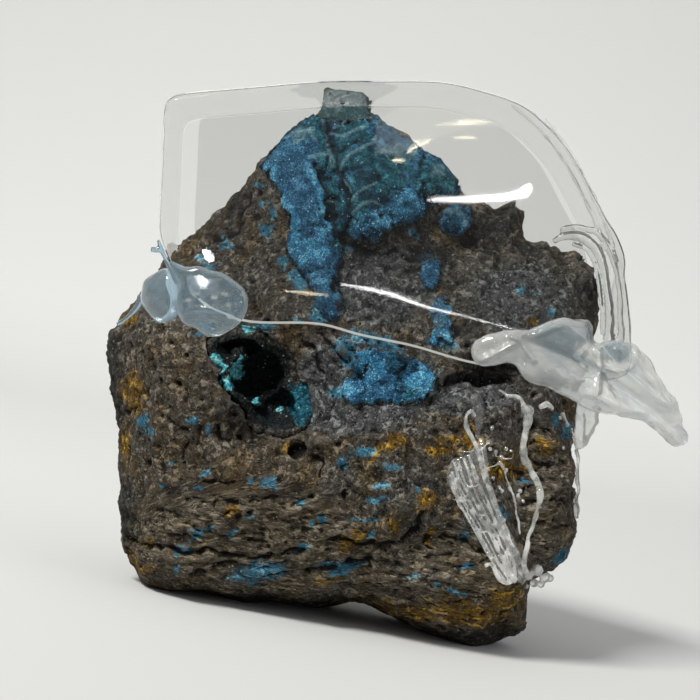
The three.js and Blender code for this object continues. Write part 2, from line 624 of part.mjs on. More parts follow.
// Stand the specimen on its base, with the middle of its extent over the origin
specimen.rotation.y = -STAND_TURN;
const standing = new THREE.Group();
standing.add(specimen);
standing.updateMatrixWorld(true);
const extent = new THREE.Box3().setFromObject(specimen, true);
const middle = extent.getCenter(new THREE.Vector3());
specimen.position.set(-middle.x, -middle.y, -extent.min.z);

export default standing;
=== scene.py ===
# %% [markdown]
# # Shattuckite on its matrix
#
# A palm-sized lump of dark iron-manganese rock whose peak is coated with blue, fibrous shattuckite. A cut
# piece of clear plastic is fixed over the crystals with hot-melt glue. The solids of every piece come from
# the frame. These cells give each piece its fine surface and its finish.

# %% Load the frame
import math
import random

import bmesh
import bpy
import numpy as np
from mathutils import Matrix, Vector
from mathutils.bvhtree import BVHTree


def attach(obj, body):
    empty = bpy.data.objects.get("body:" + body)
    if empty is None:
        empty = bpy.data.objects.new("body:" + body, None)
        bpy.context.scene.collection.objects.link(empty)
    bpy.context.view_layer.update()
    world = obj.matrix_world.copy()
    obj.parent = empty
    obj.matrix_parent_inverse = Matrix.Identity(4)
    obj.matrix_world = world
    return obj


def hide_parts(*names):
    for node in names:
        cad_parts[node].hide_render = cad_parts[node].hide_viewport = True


MM = 0.001
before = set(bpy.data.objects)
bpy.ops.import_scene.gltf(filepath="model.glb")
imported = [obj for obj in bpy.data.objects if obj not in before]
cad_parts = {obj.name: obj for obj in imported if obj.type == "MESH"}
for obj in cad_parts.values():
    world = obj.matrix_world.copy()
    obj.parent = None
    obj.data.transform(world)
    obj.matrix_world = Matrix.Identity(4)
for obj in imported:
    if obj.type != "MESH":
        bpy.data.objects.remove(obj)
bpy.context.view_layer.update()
print("pieces in the frame:", ", ".join(sorted(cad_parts)))

# %% [markdown]
# ## Where things are
#
# The specimen was shaped as it looks from the front and then turned by a few degrees to stand on its
# base. Features of the face are easiest to name by where they show in the picture, so two helpers go
# from the row frame to the picture and back. The picture is 700 pixels wide, 7.5 pixels show one
# millimetre in the plane through the middle of the specimen, and the eye is 200 mm in front of it. The
# display frame is that view: x to the right, y away from the eye, z up, and the eye at y = -200.

# %% From the row frame to the picture and back
PIXELS_PER_MM = 7.5
PICTURE_MIDDLE = 350
PICTURE_SIZE = 2 * PICTURE_MIDDLE
EYE_DISTANCE = 200
STAND_TURN = math.radians(10.5)
DISPLAY_ORIGIN = (-5.9423, 1.5260, 34.9931)  # of the display frame, in the row frame, mm

display = Matrix.Translation(Vector(DISPLAY_ORIGIN)) @ Matrix.Rotation(-STAND_TURN, 4, "Y")
to_display = np.array(display.inverted())
from_display = np.array(display)


def turned(points, matrix):
    """Points (N by 3) through a 4 by 4 matrix."""
    return points @ matrix[:3, :3].T + matrix[:3, 3]


def picture_of(points):
    """Row-frame points in mm, as (picture x, picture y, depth behind the middle plane in mm)."""
    shown = turned(points, to_display)
    k = (EYE_DISTANCE + shown[:, 1]) / EYE_DISTANCE
    x = PICTURE_MIDDLE + PIXELS_PER_MM * shown[:, 0] / k
    y = PICTURE_MIDDLE - PIXELS_PER_MM * shown[:, 2] / k
    return x, y, shown[:, 1]


def placed(x, y, depth):
    """The row-frame point in mm that shows at a picture place and lies at that depth."""
    k = (EYE_DISTANCE + depth) / EYE_DISTANCE / PIXELS_PER_MM
    seen = np.array([[(x - PICTURE_MIDDLE) * k, depth, (PICTURE_MIDDLE - y) * k]])
    return turned(seen, from_display)[0]


EYE = placed(PICTURE_MIDDLE, PICTURE_MIDDLE, 1e-6 - EYE_DISTANCE)
RIGHT, AWAY, UP = from_display[:3, :3].T  # unit vectors, as seen in the picture
print("the eye is at", np.round(EYE, 1), "mm")

# %% [markdown]
# ## Noise in numpy
#
# Relief is made by moving vertices, so the noise has to be worked out in Python, for all the vertices of
# a piece at once. A smooth noise makes swells and dents, and a cell noise makes grains and cushions.

# %% Noise helpers
def hashed(cells, seed):
    """A fixed random number from 0 to 1 for each whole-numbered cell (N by 3)."""
    x, y, z = (cells[:, i].astype(np.int64) for i in range(3))
    h = (x * 73856093) ^ (y * 19349663) ^ (z * 83492791) ^ (seed * 15485863)
    h = ((h ^ (h >> 13)) * 1274126177) & 0x7FFFFFFF
    h = ((h ^ (h >> 15)) * 668265263) & 0x7FFFFFFF
    return ((h >> 7) & 0xFFFF) / 0xFFFF


def swell(points, size, seed=0):
    """Smooth noise from about -1 to 1, whose bumps are about size across."""
    p = points / size
    low = np.floor(p)
    f = p - low
    ease = f * f * f * (f * (f * 6 - 15) + 10)
    total = np.zeros(len(points))
    for corner in np.ndindex(2, 2, 2):
        c = np.array(corner)
        cell = low + c
        slope = np.stack([hashed(cell, seed * 3 + k) * 2 - 1 for k in range(3)], axis=1)
        weight = np.prod(np.where(c, ease, 1 - ease), axis=1)
        total += weight * np.einsum("ij,ij->i", slope, f - c)
    return total * 1.7


def layered(points, size, octaves, seed=0, fade=0.5):
    """Smooth noise with finer noise on it."""
    return sum(fade**i * swell(points, size / 2**i, seed + 11 * i) for i in range(octaves))


def grains(points, size, seed=0):
    """Cell noise: (distance to the nearest grain's middle, distance to the next, that grain's number)."""
    p = points / size
    low = np.floor(p)
    nearest = np.full(len(points), 9.0)
    second = np.full(len(points), 9.0)
    number = np.zeros(len(points))
    for step in np.ndindex(3, 3, 3):
        cell = low + np.array(step) - 1
        middle = cell + np.stack([hashed(cell, seed * 3 + k) for k in range(3)], axis=1)
        away = np.linalg.norm(p - middle, axis=1)
        closer = away < nearest
        second = np.where(closer, nearest, np.minimum(second, away))
        number = np.where(closer, hashed(cell, seed * 3 + 5), number)
        nearest = np.minimum(nearest, away)
    return nearest, second, number


def smooth(low, high, value):
    """A soft step from 0 to 1 as value goes from low to high, in either direction."""
    t = np.clip((value - low) / (high - low), 0, 1)
    return t * t * (3 - 2 * t)


# %% [markdown]
# ## Meshes to work on
#
# Each CAD solid is a coarse, closed form. A voxel remesh gives a copy of it an even skin of small quads,
# which can then carry relief. Only the side that faces the viewer needs the finest skin, so there the
# quads are split once more.

# %% Mesh helpers
def in_scene(name, data):
    """A new object in the scene."""
    made = bpy.data.objects.new(name, data)
    bpy.context.scene.collection.objects.link(made)
    return made


def mesh_of(name, points, faces):
    """A mesh from points in metres and faces of point numbers."""
    mesh = bpy.data.meshes.new(name)
    mesh.from_pydata(points, [], faces)
    return mesh


def modified(mesh, *steps):
    """What modifiers make of a mesh. Each step is (kind of modifier, its settings)."""
    work = in_scene("work", mesh)
    for kind, settings in steps:
        modifier = work.modifiers.new(kind, kind)
        for name, value in settings.items():
            setattr(modifier, name, value)
    bpy.context.view_layer.update()
    made = bpy.data.meshes.new_from_object(work.evaluated_get(bpy.context.evaluated_depsgraph_get()))
    bpy.data.objects.remove(work)
    return made


def even_skin(mesh, voxel, rounds):
    """A mesh's voxel remesh, softened. voxel is in mm."""
    grid = {"mode": "VOXEL", "voxel_size": voxel * MM}
    skin = modified(mesh, ("REMESH", grid), ("SMOOTH", {"factor": 0.5, "iterations": rounds}))
    skin.materials.clear()
    return skin


def remeshed(node, voxel, rounds):
    """An even, softened copy of a CAD node's mesh."""
    return even_skin(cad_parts[node].data.copy(), voxel, rounds)


def points_of(mesh):
    """A mesh's vertices in mm, N by 3."""
    flat = np.empty(len(mesh.vertices) * 3)
    mesh.vertices.foreach_get("co", flat)
    return flat.reshape(-1, 3) / MM


def set_points(mesh, points):
    mesh.vertices.foreach_set("co", (points * MM).ravel())
    mesh.update()


def normals_of(mesh):
    flat = np.empty(len(mesh.vertices) * 3, np.float32)
    mesh.vertex_normals.foreach_get("vector", flat)
    return flat.reshape(-1, 3).astype(float)


def facing_eye(points, normals):
    """How squarely each point's surface looks at the eye, from -1 to 1."""
    away = EYE - points
    return np.einsum("ij,ij->i", normals, away) / np.linalg.norm(away, axis=1)


def averaged(mesh, values, rounds):
    """Values per vertex, each replaced rounds times by the mean of its neighbours."""
    ends = np.empty(len(mesh.edges) * 2, np.int64)
    mesh.edges.foreach_get("vertices", ends)
    a, b = ends[::2], ends[1::2]
    count = np.bincount(ends, minlength=len(mesh.vertices))
    columns = values.reshape(len(values), -1)
    for _ in range(rounds):
        total = [
            np.bincount(a, column[b], len(values)) + np.bincount(b, column[a], len(values))
            for column in columns.T
        ]
        columns = np.stack(total, axis=1) / count[:, None]
    return columns.reshape(values.shape)


BARELY_FACING = 0.02


def split_front(mesh):
    """Splits the faces that look at the eye into four."""
    bm = bmesh.new()
    bm.from_mesh(mesh)
    bm.faces.ensure_lookup_table()
    middles = np.array([face.calc_center_median() for face in bm.faces]) / MM
    normals = np.array([face.normal for face in bm.faces])
    looks = facing_eye(middles, normals) > BARELY_FACING
    edges = {edge for face, chosen in zip(bm.faces, looks) if chosen for edge in face.edges}
    bmesh.ops.subdivide_edges(bm, edges=list(edges), cuts=1, use_grid_fill=True)
    bm.to_mesh(mesh)
    bm.free()


def paint(mesh, name, values):
    """Stores one number per vertex, for the materials to read."""
    layer = mesh.attributes.new(name, "FLOAT", "POINT")
    layer.data.foreach_set("value", np.asarray(values, np.float32))


def add_piece(name, mesh, materials, node):
    """Puts a finished mesh in the scene, in place of the CAD node that it stands for."""
    mesh.shade_smooth()
    for material in materials:
        mesh.materials.append(material)
    piece = in_scene(name, mesh)
    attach(piece, "root")
    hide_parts(node)
    faces = sum(polygon.loop_total - 2 for polygon in mesh.polygons)
    print(f"{name}: {faces} triangles")
    return piece


# %% [markdown]
# ## Marks on the face
#
# Blue and ochre spots, cracks and pits lie at places that can be read off the picture. An oval mark gives
# 1 in its middle, 0 on its rim and less outside, so a material can fray the rim with noise. A line gives
# the distance from it, so the rock can be cut along it.

# %% Helpers for marks
FAR = 1e9


def oval(x, y, mark):
    """1 in the middle of an oval mark (x, y, half width, half height, turn in degrees), 0 on its rim."""
    mark_x, mark_y, half_width, half_height, turn = mark
    a = math.radians(turn)
    dx, dy = x - mark_x, mark_y - y
    across = (dx * math.cos(a) + dy * math.sin(a)) / half_width
    up = (dy * math.cos(a) - dx * math.sin(a)) / half_height
    return 1 - np.hypot(across, up)


def marked(x, y, marks, floor=-2.0):
    """The strongest of several oval marks at each point."""
    return np.max([np.maximum(oval(x, y, mark), floor) for mark in marks], axis=0)


def from_line(x, y, line):
    """Distance in pixels from each point to a line through the given places."""
    best = np.full(len(x), FAR)
    for (x0, y0), (x1, y1) in zip(line, line[1:]):
        dx, dy = x1 - x0, y1 - y0
        t = np.clip(((x - x0) * dx + (y - y0) * dy) / (dx * dx + dy * dy), 0, 1)
        best = np.minimum(best, np.hypot(x - x0 - t * dx, y - y0 - t * dy))
    return best


# %% [markdown]
# ## Wiring materials
#
# A material is a small machine of nodes. This helper adds a node, sets its values and links its sockets in
# one call, so that each material below reads as a recipe.

# %% Wiring helper
class Wiring:
    """Adds nodes to one node tree. Any input may be a number, a colour or another node's output."""

    def __init__(self, tree):
        self.tree = tree

    def put(self, socket, value):
        if isinstance(value, bpy.types.NodeSocket):
            self.tree.links.new(value, socket)
        elif isinstance(value, tuple) and len(value) == 3 and socket.type == "RGBA":
            socket.default_value = (*value, 1)
        else:
            socket.default_value = value

    def add(self, kind, inputs=(), **settings):
        node = self.tree.nodes.new(kind)
        for name, value in settings.items():
            setattr(node, name, value)
        for name, value in dict(inputs).items():
            self.put(node.inputs[name], value)
        return node

    def where(self):
        """The place on the piece, in mm."""
        return self.scaled(self.add("ShaderNodeTexCoord").outputs["Object"], 1 / MM)

    def vector(self, operation, a, b=(0, 0, 0)):
        return self.add("ShaderNodeVectorMath", {0: a, 1: b}, operation=operation).outputs["Vector"]

    def scaled(self, vector, scale):
        node = self.add("ShaderNodeVectorMath", {0: vector}, operation="SCALE")
        self.put(node.inputs["Scale"], scale)
        return node.outputs["Vector"]

    def math(self, operation, a, b=0.5, clamp=False):
        return self.add("ShaderNodeMath", {0: a, 1: b}, operation=operation, use_clamp=clamp).outputs[0]

    def plus(self, a, b, clamp=False):
        return self.math("ADD", a, b, clamp)

    def minus(self, a, b):
        return self.math("SUBTRACT", a, b)

    def times(self, a, b):
        return self.math("MULTIPLY", a, b)

    def around(self, value, gain):
        """A value from 0 to 1, moved to lie around 0 and stretched by the gain."""
        return self.times(self.minus(value, 0.5), gain)

    def stored(self, name):
        return self.add("ShaderNodeAttribute", attribute_name=name).outputs["Fac"]

    def axes(self, vector):
        return self.add("ShaderNodeSeparateXYZ", {0: vector}).outputs

    def vector_of(self, x, y, z):
        return self.add("ShaderNodeCombineXYZ", {0: x, 1: y, 2: z}).outputs[0]

    def parts(self, colour):
        return self.add("ShaderNodeSeparateColor", {"Color": colour}).outputs

    def zoomed(self, given):
        """A group's Place divided by its Size."""
        return self.scaled(given["Place"], self.math("DIVIDE", 1.0, given["Size"]))

    def noise(self, place, size, detail=3, rough=0.55, twist=0):
        inputs = {"Vector": place, "Scale": 1 / size, "Detail": detail, "Roughness": rough}
        inputs["Distortion"] = twist
        return self.add("ShaderNodeTexNoise", inputs).outputs["Fac"]

    def cells(self, place, size):
        return self.add("ShaderNodeTexVoronoi", {"Vector": place, "Scale": 1 / size})

    def span(self, value, low, high, start=0, end=1, smooth=True):
        """value, stretched so that low gives start and high gives end."""
        inputs = {"Value": value, "From Min": low, "From Max": high, "To Min": start, "To Max": end}
        kind = "SMOOTHSTEP" if smooth else "LINEAR"
        return self.add("ShaderNodeMapRange", inputs, interpolation_type=kind).outputs["Result"]

    def mix(self, share, a, b, kind="Color"):
        """Two colours mixed, or two vectors if kind is Vector."""
        node = self.add("ShaderNodeMix", data_type="RGBA" if kind == "Color" else "VECTOR")
        for name, value in (("Factor_Float", share), ("A_" + kind, a), ("B_" + kind, b)):
            self.put(next(s for s in node.inputs if s.identifier == name), value)
        return next(s for s in node.outputs if s.identifier == "Result_" + kind)

    def blend(self, share, a, b):
        """Two numbers, mixed."""
        return self.span(share, 0, 1, a, b, smooth=False)

    def shade(self, value, low, middle, high, at=0.5):
        """Three colours along a value from 0 to 1."""
        ramp = self.add("ShaderNodeValToRGB", {"Fac": value})
        ramp.color_ramp.elements[0].color = (*low, 1)
        ramp.color_ramp.elements[1].color = (*high, 1)
        ramp.color_ramp.elements.new(at).color = (*middle, 1)
        return ramp.outputs["Color"]

    def bump(self, height, depth):
        """A normal that shows relief of that depth in mm."""
        inputs = {"Height": height, "Distance": depth * MM, "Strength": 1}
        return self.add("ShaderNodeBump", inputs).outputs["Normal"]


def new_material(name, values=()):
    """A material with its wiring helper and its Principled shader, which is given the values."""
    material = bpy.data.materials.new(name)
    material.use_nodes = True
    wiring = Wiring(material.node_tree)
    surface = material.node_tree.nodes["Principled BSDF"]
    for socket, value in dict(values).items():
        wiring.put(surface.inputs[socket], value)
    return material, wiring, surface


def new_group(name, inputs, outputs):
    """An empty shader node group with named sockets: (tree, wiring, its inputs, its output node)."""
    tree = bpy.data.node_groups.new(name, "ShaderNodeTree")
    kinds = {"number": "NodeSocketFloat", "colour": "NodeSocketColor", "vector": "NodeSocketVector"}
    for socket, (kind, value) in inputs.items():
        made = tree.interface.new_socket(name=socket, in_out="INPUT", socket_type=kinds[kind])
        if value is not None:
            made.default_value = value
    for socket, kind in outputs.items():
        tree.interface.new_socket(name=socket, in_out="OUTPUT", socket_type=kinds[kind])
    wiring = Wiring(tree)
    return tree, wiring, wiring.add("NodeGroupInput").outputs, wiring.add("NodeGroupOutput")


def use_group(wiring, tree, inputs=()):
    return wiring.add("ShaderNodeGroup", inputs, node_tree=tree).outputs


# %% [markdown]
# ## The light, the floor and the camera
#
# The specimen is lit like a small thing by a window: soft light from above and in front. Most of it comes
# from the sky of the world, which is brighter towards the top. A key lamp gives the relief its shadows,
# and a weak lamp opens them on the right. The camera is the eye of the picture, rolled with the turn that
# stands the specimen on its base.

# %% Camera
SENSOR = 36
PICTURE_WIDTH_MM = PICTURE_SIZE / PIXELS_PER_MM

camera = in_scene("camera", bpy.data.cameras.new("camera"))
camera.data.sensor_width = SENSOR
camera.data.lens = SENSOR * EYE_DISTANCE / PICTURE_WIDTH_MM
camera.data.clip_start = 0.01
in_display = Matrix.Translation(Vector((0, -EYE_DISTANCE, 0))) @ Matrix.Rotation(math.radians(90), 4, "X")
posed = display @ in_display
camera.matrix_world = Matrix.Translation(posed.translation * MM) @ posed.to_3x3().to_4x4()
bpy.context.scene.camera = camera
print("lens", round(camera.data.lens, 2), "mm")

# %% Lamps
def lamp(name, place, size, power, colour):
    """A rectangular lamp at a display-frame place in mm, turned to the specimen's middle."""
    data = bpy.data.lights.new(name, "AREA")
    data.shape = "RECTANGLE"
    data.size, data.size_y = (side * MM for side in size)
    data.energy = power
    data.color = colour
    made = in_scene(name, data)
    start, end = display @ Vector(place), display @ Vector((0, 0, 0))
    aimed = (end - start).to_track_quat("-Z", "Y").to_matrix().to_4x4()
    made.matrix_world = Matrix.Translation(start * MM) @ aimed


lamp("key_lamp", (-150, -260, 420), (150, 110), 3.4, (1, 0.985, 0.95))
lamp("fill_lamp", (420, -260, 160), (260, 260), 0.3, (0.94, 0.97, 1))

# %% World
world = bpy.data.worlds.new("soft_room")
bpy.context.scene.world = world
world.use_nodes = True
world.node_tree.nodes.clear()
w = Wiring(world.node_tree)
ahead = w.axes(w.add("ShaderNodeTexCoord").outputs["Generated"])
sky = w.mix(w.span(ahead["Z"], -0.3, 1, smooth=False), (0.20, 0.203, 0.20), (0.74, 0.74, 0.735))
dimmed = w.span(ahead["Y"], -0.86, -0.95, 1, 0.35)  # darker right behind the eye, which the guard mirrors
glow = w.add("ShaderNodeBackground", {"Color": sky, "Strength": dimmed})
w.add("ShaderNodeOutputWorld", {"Surface": glow.outputs["Background"]})
bpy.context.scene.view_settings.view_transform = "Standard"

# %% Floor that sweeps up behind the specimen
def sweep():
    """A strip of floor that curves up into a wall, far wider than the view."""
    half_width, front_y, bend_y, radius, wall = 1.6, -1.2, 0.35, 0.35, 1.5
    profile = [(front_y, 0.0), (bend_y, 0.0)]
    for i in range(1, 13):
        a = math.radians(7.5 * i)
        profile.append((bend_y + radius * math.sin(a), radius * (1 - math.cos(a))))
    profile.append((bend_y + radius, wall))
    corners = [(side * half_width, y, z) for y, z in profile for side in (-1, 1)]
    faces = [(2 * i, 2 * i + 1, 2 * i + 3, 2 * i + 2) for i in range(len(profile) - 1)]
    mesh = mesh_of("floor", corners, faces)
    mesh.shade_smooth()
    return mesh


floor = in_scene("floor", sweep())
paper, w, surface = new_material("paper", {"Roughness": 0.9, "Specular IOR Level": 0.1})
back = w.axes(w.add("ShaderNodeTexCoord").outputs["Object"])["Y"]
paper_tint = w.mix(w.span(back, -0.1, 0.5, smooth=False), (0.43, 0.435, 0.43), (0.94, 0.945, 0.93))
w.put(surface.inputs["Base Color"], paper_tint)
floor.data.materials.append(paper)

# %% [markdown]
# ## Shared effects
#
# Rock, crust and lining are all crumbly and all sparkle. Grit gives a fine relief and a fine change of
# brightness. Sparkle picks out a few tiny crystal faces, makes them smooth, and tilts each its own way,
# so that they catch the light one by one. The materials also paint them pale, a painted glint on top of
# the real one.

# %% Grit
grit, w, given, out = new_group(
    "grit",
    {"Place": ("vector", (0, 0, 0)), "Size": ("number", 0.5), "Contrast": ("number", 1.0)},
    {"Tone": "number", "Height": "number"},
)
near = w.zoomed(given)
crumbs = w.cells(near, 1)
crumb_tone = w.parts(crumbs.outputs["Color"])["Red"]
speckle = w.noise(near, 1.3, detail=4, rough=0.65)
mixed = w.plus(w.times(crumb_tone, 0.45), w.times(speckle, 0.9))
centred = w.times(w.minus(mixed, 0.67), given["Contrast"])
w.put(out.inputs["Tone"], w.plus(centred, 0.5, clamp=True))
dome = w.minus(1.0, crumbs.outputs["Distance"])
w.put(out.inputs["Height"], w.plus(w.times(dome, 0.6), w.times(speckle, 0.7)))

# %% Sparkle
sparkle, w, given, out = new_group(
    "sparkle",
    {
        "Place": ("vector", (0, 0, 0)),
        "Size": ("number", 0.3),
        "Share": ("number", 0.06),
        "Normal": ("vector", None),
    },
    {"Mask": "number", "Normal": "vector"},
)
near = w.zoomed(given)
flakes = w.cells(near, 1)
parts = w.parts(flakes.outputs["Color"])
chosen = w.math("LESS_THAN", parts["Blue"], given["Share"])
inside = w.span(flakes.outputs["Distance"], 0.55, 0.35)
w.put(out.inputs["Mask"], w.times(chosen, inside))
tilt = w.scaled(w.vector("SUBTRACT", flakes.outputs["Color"], (0.5, 0.5, 0.5)), 1.1)
w.put(out.inputs["Normal"], w.vector("NORMALIZE", w.vector("ADD", given["Normal"], tilt)))
print("shared effects: grit, sparkle")

# %% [markdown]
# ## The matrix
#
# The rock is a broken lump: brown-grey and bedded below, granular and grey in the middle, nearly black
# where the crystals begin. Its broad shape comes from the CAD solid. Finer relief could be a displacement
# map, but moved vertices also give the outline its crags, so the relief is worked out here: swells,
# crumbs, wavy layers, then the cracks and pits that can be seen one by one.

# %% Rock mesh
ROCK_VOXEL = 0.619
TIP = (343, 106, 34, 22, 0)  # the small block at the peak, in picture pixels
TIP_FOOT = (124, 119)  # heights in the picture between which it begins
TIP_TOP = (104, 109)  # heights between which its pale top ends
rock = remeshed("matrix", ROCK_VOXEL, 2)
split_front(rock)
p = points_of(rock)
x, y, _ = picture_of(p)
tip = smooth(0.0, 0.3, oval(x, y, TIP)) * smooth(*TIP_FOOT, y)
p = p + (averaged(rock, p, 3) - p) * (1 - 0.7 * tip)[:, None]
set_points(rock, p)
n = normals_of(rock)
x, y, _ = picture_of(p)
looks = smooth(0.0, 0.25, facing_eye(p, n))
outer_side = smooth(-0.7, -0.1, facing_eye(p, n))
print("rock:", len(p), "vertices")

# %% Named features of the face, in picture pixels
CRACKS = [  # line, half width and depth in mm
    ([(130, 541), (158, 548), (182, 555), (205, 551), (228, 558), (255, 560), (276, 556), (301, 549)],
        0.34, 0.8),
    ([(186, 499), (198, 500), (217, 502)], 0.22, 0.5), ([(180, 479), (206, 481), (232, 482)], 0.22, 0.35),
    ([(163, 415), (175, 424), (188, 432)], 0.25, 0.4), ([(186, 444), (184, 462)], 0.25, 0.5),
    ([(217, 428), (219, 439)], 0.3, 0.6), ([(315, 454), (323, 463), (321, 477)], 0.4, 1.0),
    ([(318, 330), (332, 348), (345, 362), (358, 372)], 0.35, 0.6),
    ([(332, 330), (350, 350), (366, 366)], 0.25, 0.4), ([(300, 335), (312, 352), (322, 372)], 0.3, 0.5),
    ([(268, 577), (300, 571), (338, 569), (365, 560), (396, 563)], 0.3, 0.55),
    ([(340, 541), (372, 548), (402, 541), (416, 528), (424, 512)], 0.35, 0.7),
    ([(424, 540), (446, 536), (468, 543), (486, 552)], 0.35, 0.6),
    ([(203, 249), (218, 241), (232, 233), (241, 222)], 0.5, 0.7),
    ([(236, 228), (243, 212), (247, 196)], 0.4, 0.6),
    ([(352, 243), (372, 252), (396, 250), (410, 262)], 0.3, 0.5),
    ([(528, 460), (548, 466), (566, 462)], 0.3, 0.4), ([(530, 500), (550, 505), (570, 500)], 0.3, 0.4),
    ([(536, 522), (556, 528), (572, 524)], 0.25, 0.35),
    ([(118, 420), (135, 405), (148, 384), (152, 356)], 0.35, 0.4),
]
PITS = [  # place, half sizes and turn, with its depth in mm
    ((150, 367, 4, 5, 0), 1.0), ((160, 380, 3, 3, 0), 0.6), ((178, 384, 5, 3, -30), 0.9),
    ((186, 355, 3, 4, 0), 0.6), ((140, 352, 3, 3, 0), 0.6), ((201, 399, 3, 3, 0), 0.5),
    ((170, 341, 4, 3, 0), 0.7), ((298, 449, 11, 13, 25), 1.4), ((239, 438, 5, 3, -30), 0.7),
    ((232, 504, 10, 9, 0), 0.5), ((240, 520, 8, 10, 20), 0.45), ((248, 513, 6, 4, 0), 0.9),
    ((196, 575, 14, 5, 8), 0.7), ((222, 566, 16, 5, 12), 0.6), ((335, 541, 14, 6, 12), 0.7),
    ((345, 495, 3, 6, 10), 0.6), ((316, 470, 6, 8, 0), 0.6), ((480, 380, 32, 7, 4), 0.9),
    ((470, 238, 12, 12, 0), 0.7), ((497, 262, 8, 6, 0), 0.6), ((330, 265, 7, 5, 0), 0.5),
    ((366, 318, 10, 5, 0), 0.4), ((256, 216, 6, 5, 0), 0.5), ((534, 425, 9, 10, 0), 0.9),
]
PUSHED = [  # corners of the outline: place, and how far they stand out to the right and up, mm
    ((588, 272, 34, 34, 0), 1.0, 1.3), ((506, 226, 20, 22, 0), 1.0, 1.4),
    ((556, 254, 34, 20, 0), 0.3, 0.9), ((470, 212, 26, 16, 0), 0.0, 0.4),
    ((118, 345, 22, 24, 0), -0.5, 0.2),
]
GRANULAR = [
    (360, 405, 95, 40, 5), (470, 395, 70, 28, 0), (330, 370, 40, 50, -35), (520, 300, 75, 52, -6),
    (380, 285, 70, 60, 0),
]
BEDDED = [(250, 545, 175, 70, 0), (440, 590, 130, 70, 8), (545, 490, 45, 90, 0)]
KNOBBLY = [(480, 232, 42, 30, -25), (540, 258, 60, 20, -10), (205, 225, 45, 30, 40), (455, 378, 45, 14, 5)]

granular = smooth(0.0, 0.5, marked(x, y, GRANULAR)) * looks
bedded = np.maximum(smooth(0.0, 0.4, marked(x, y, BEDDED)) * looks, 0.5 * (1 - looks))
knobbly = smooth(0.0, 0.5, marked(x, y, KNOBBLY)) * looks

# %% Rock relief
def ridged(points, size, octaves, seed):
    """Noise with sharp crests and round hollows, like broken stone: from about -0.5 to 0.5."""
    total = np.zeros(len(points))
    for i in range(octaves):
        total += 0.55**i * (0.4 - np.abs(swell(points, size / 2**i, seed + 7 * i)) * 2)
    return total * 0.6


warped = p + 0.9 * np.stack([swell(p, 2.4, seed) for seed in (51, 52, 53)], axis=1)
relief = 0.42 * layered(p, 5.2, 2, seed=1) + 0.42 * ridged(warped, 3.4, 4, seed=2)
nearest, _, number = grains(warped, 1.15, seed=4)
crumb = (0.5 - nearest) * 0.5 + (number - 0.5) * 0.22
relief += crumb * (0.35 + 0.6 * granular + 0.5 * knobbly)
coarse, _, coarse_number = grains(warped, 3.0, seed=9)
chunk = (0.5 - coarse) * 0.7 + (coarse_number - 0.5) * 0.9
relief += chunk * (0.16 + 0.95 * knobbly + 0.3 * smooth(0.35, 0.1, looks))
relief *= 1 - 0.8 * tip

# Wavy layers: noise drawn out along the bedding, with a dark fissure along each level line
flat = np.stack([p[:, 0] * 0.24, p[:, 1] * 0.5, p[:, 2] - 0.18 * p[:, 0]], axis=1)
wave = layered(flat, 3.0, 3, seed=21)
fissure = np.exp(-((wave / 0.075) ** 2))
relief += bedded * (0.36 * wave - 0.33 * fissure)
fine_wave = layered(flat, 1.2, 2, seed=31)
relief += bedded * (0.1 * fine_wave - 0.1 * np.exp(-((fine_wave / 0.08) ** 2)))

crack = np.zeros(len(p))
for line, half_width, cut in CRACKS:
    away = from_line(x + 4 * swell(p, 1.5, 45), y + 4 * swell(p, 1.5, 46), line) / PIXELS_PER_MM
    width = half_width * (1 + 0.9 * swell(p, 1.2, 47))
    crack = np.maximum(crack, cut * np.exp(-((away / np.maximum(width, 0.1)) ** 2)))
for mark, cut in PITS:
    crack = np.maximum(crack, cut * smooth(0.0, 0.75, oval(x, y, mark) + 0.25 * swell(p, 1.1, 43)))
relief -= crack * looks

# Loose pits over the left lobe and the back
hole, _, which = grains(p, 2.6, seed=14)
holes = smooth(0.24, 0.08, hole) * (which > 0.55)
relief -= 0.55 * holes * (1 - granular)

standing = smooth(0.2, 2.2, p[:, 2])
moved = p + n * (relief * standing)[:, None]
for mark, right, up in PUSHED:
    uneven = outer_side * (1 + 1.1 * layered(p, 2.4, 3, seed=48))
    moved += np.outer(smooth(0.0, 0.7, oval(x, y, mark)) * uneven, RIGHT * right + UP * up)
moved[:, 2] = np.maximum(moved[:, 2], 0)
set_points(rock, moved)

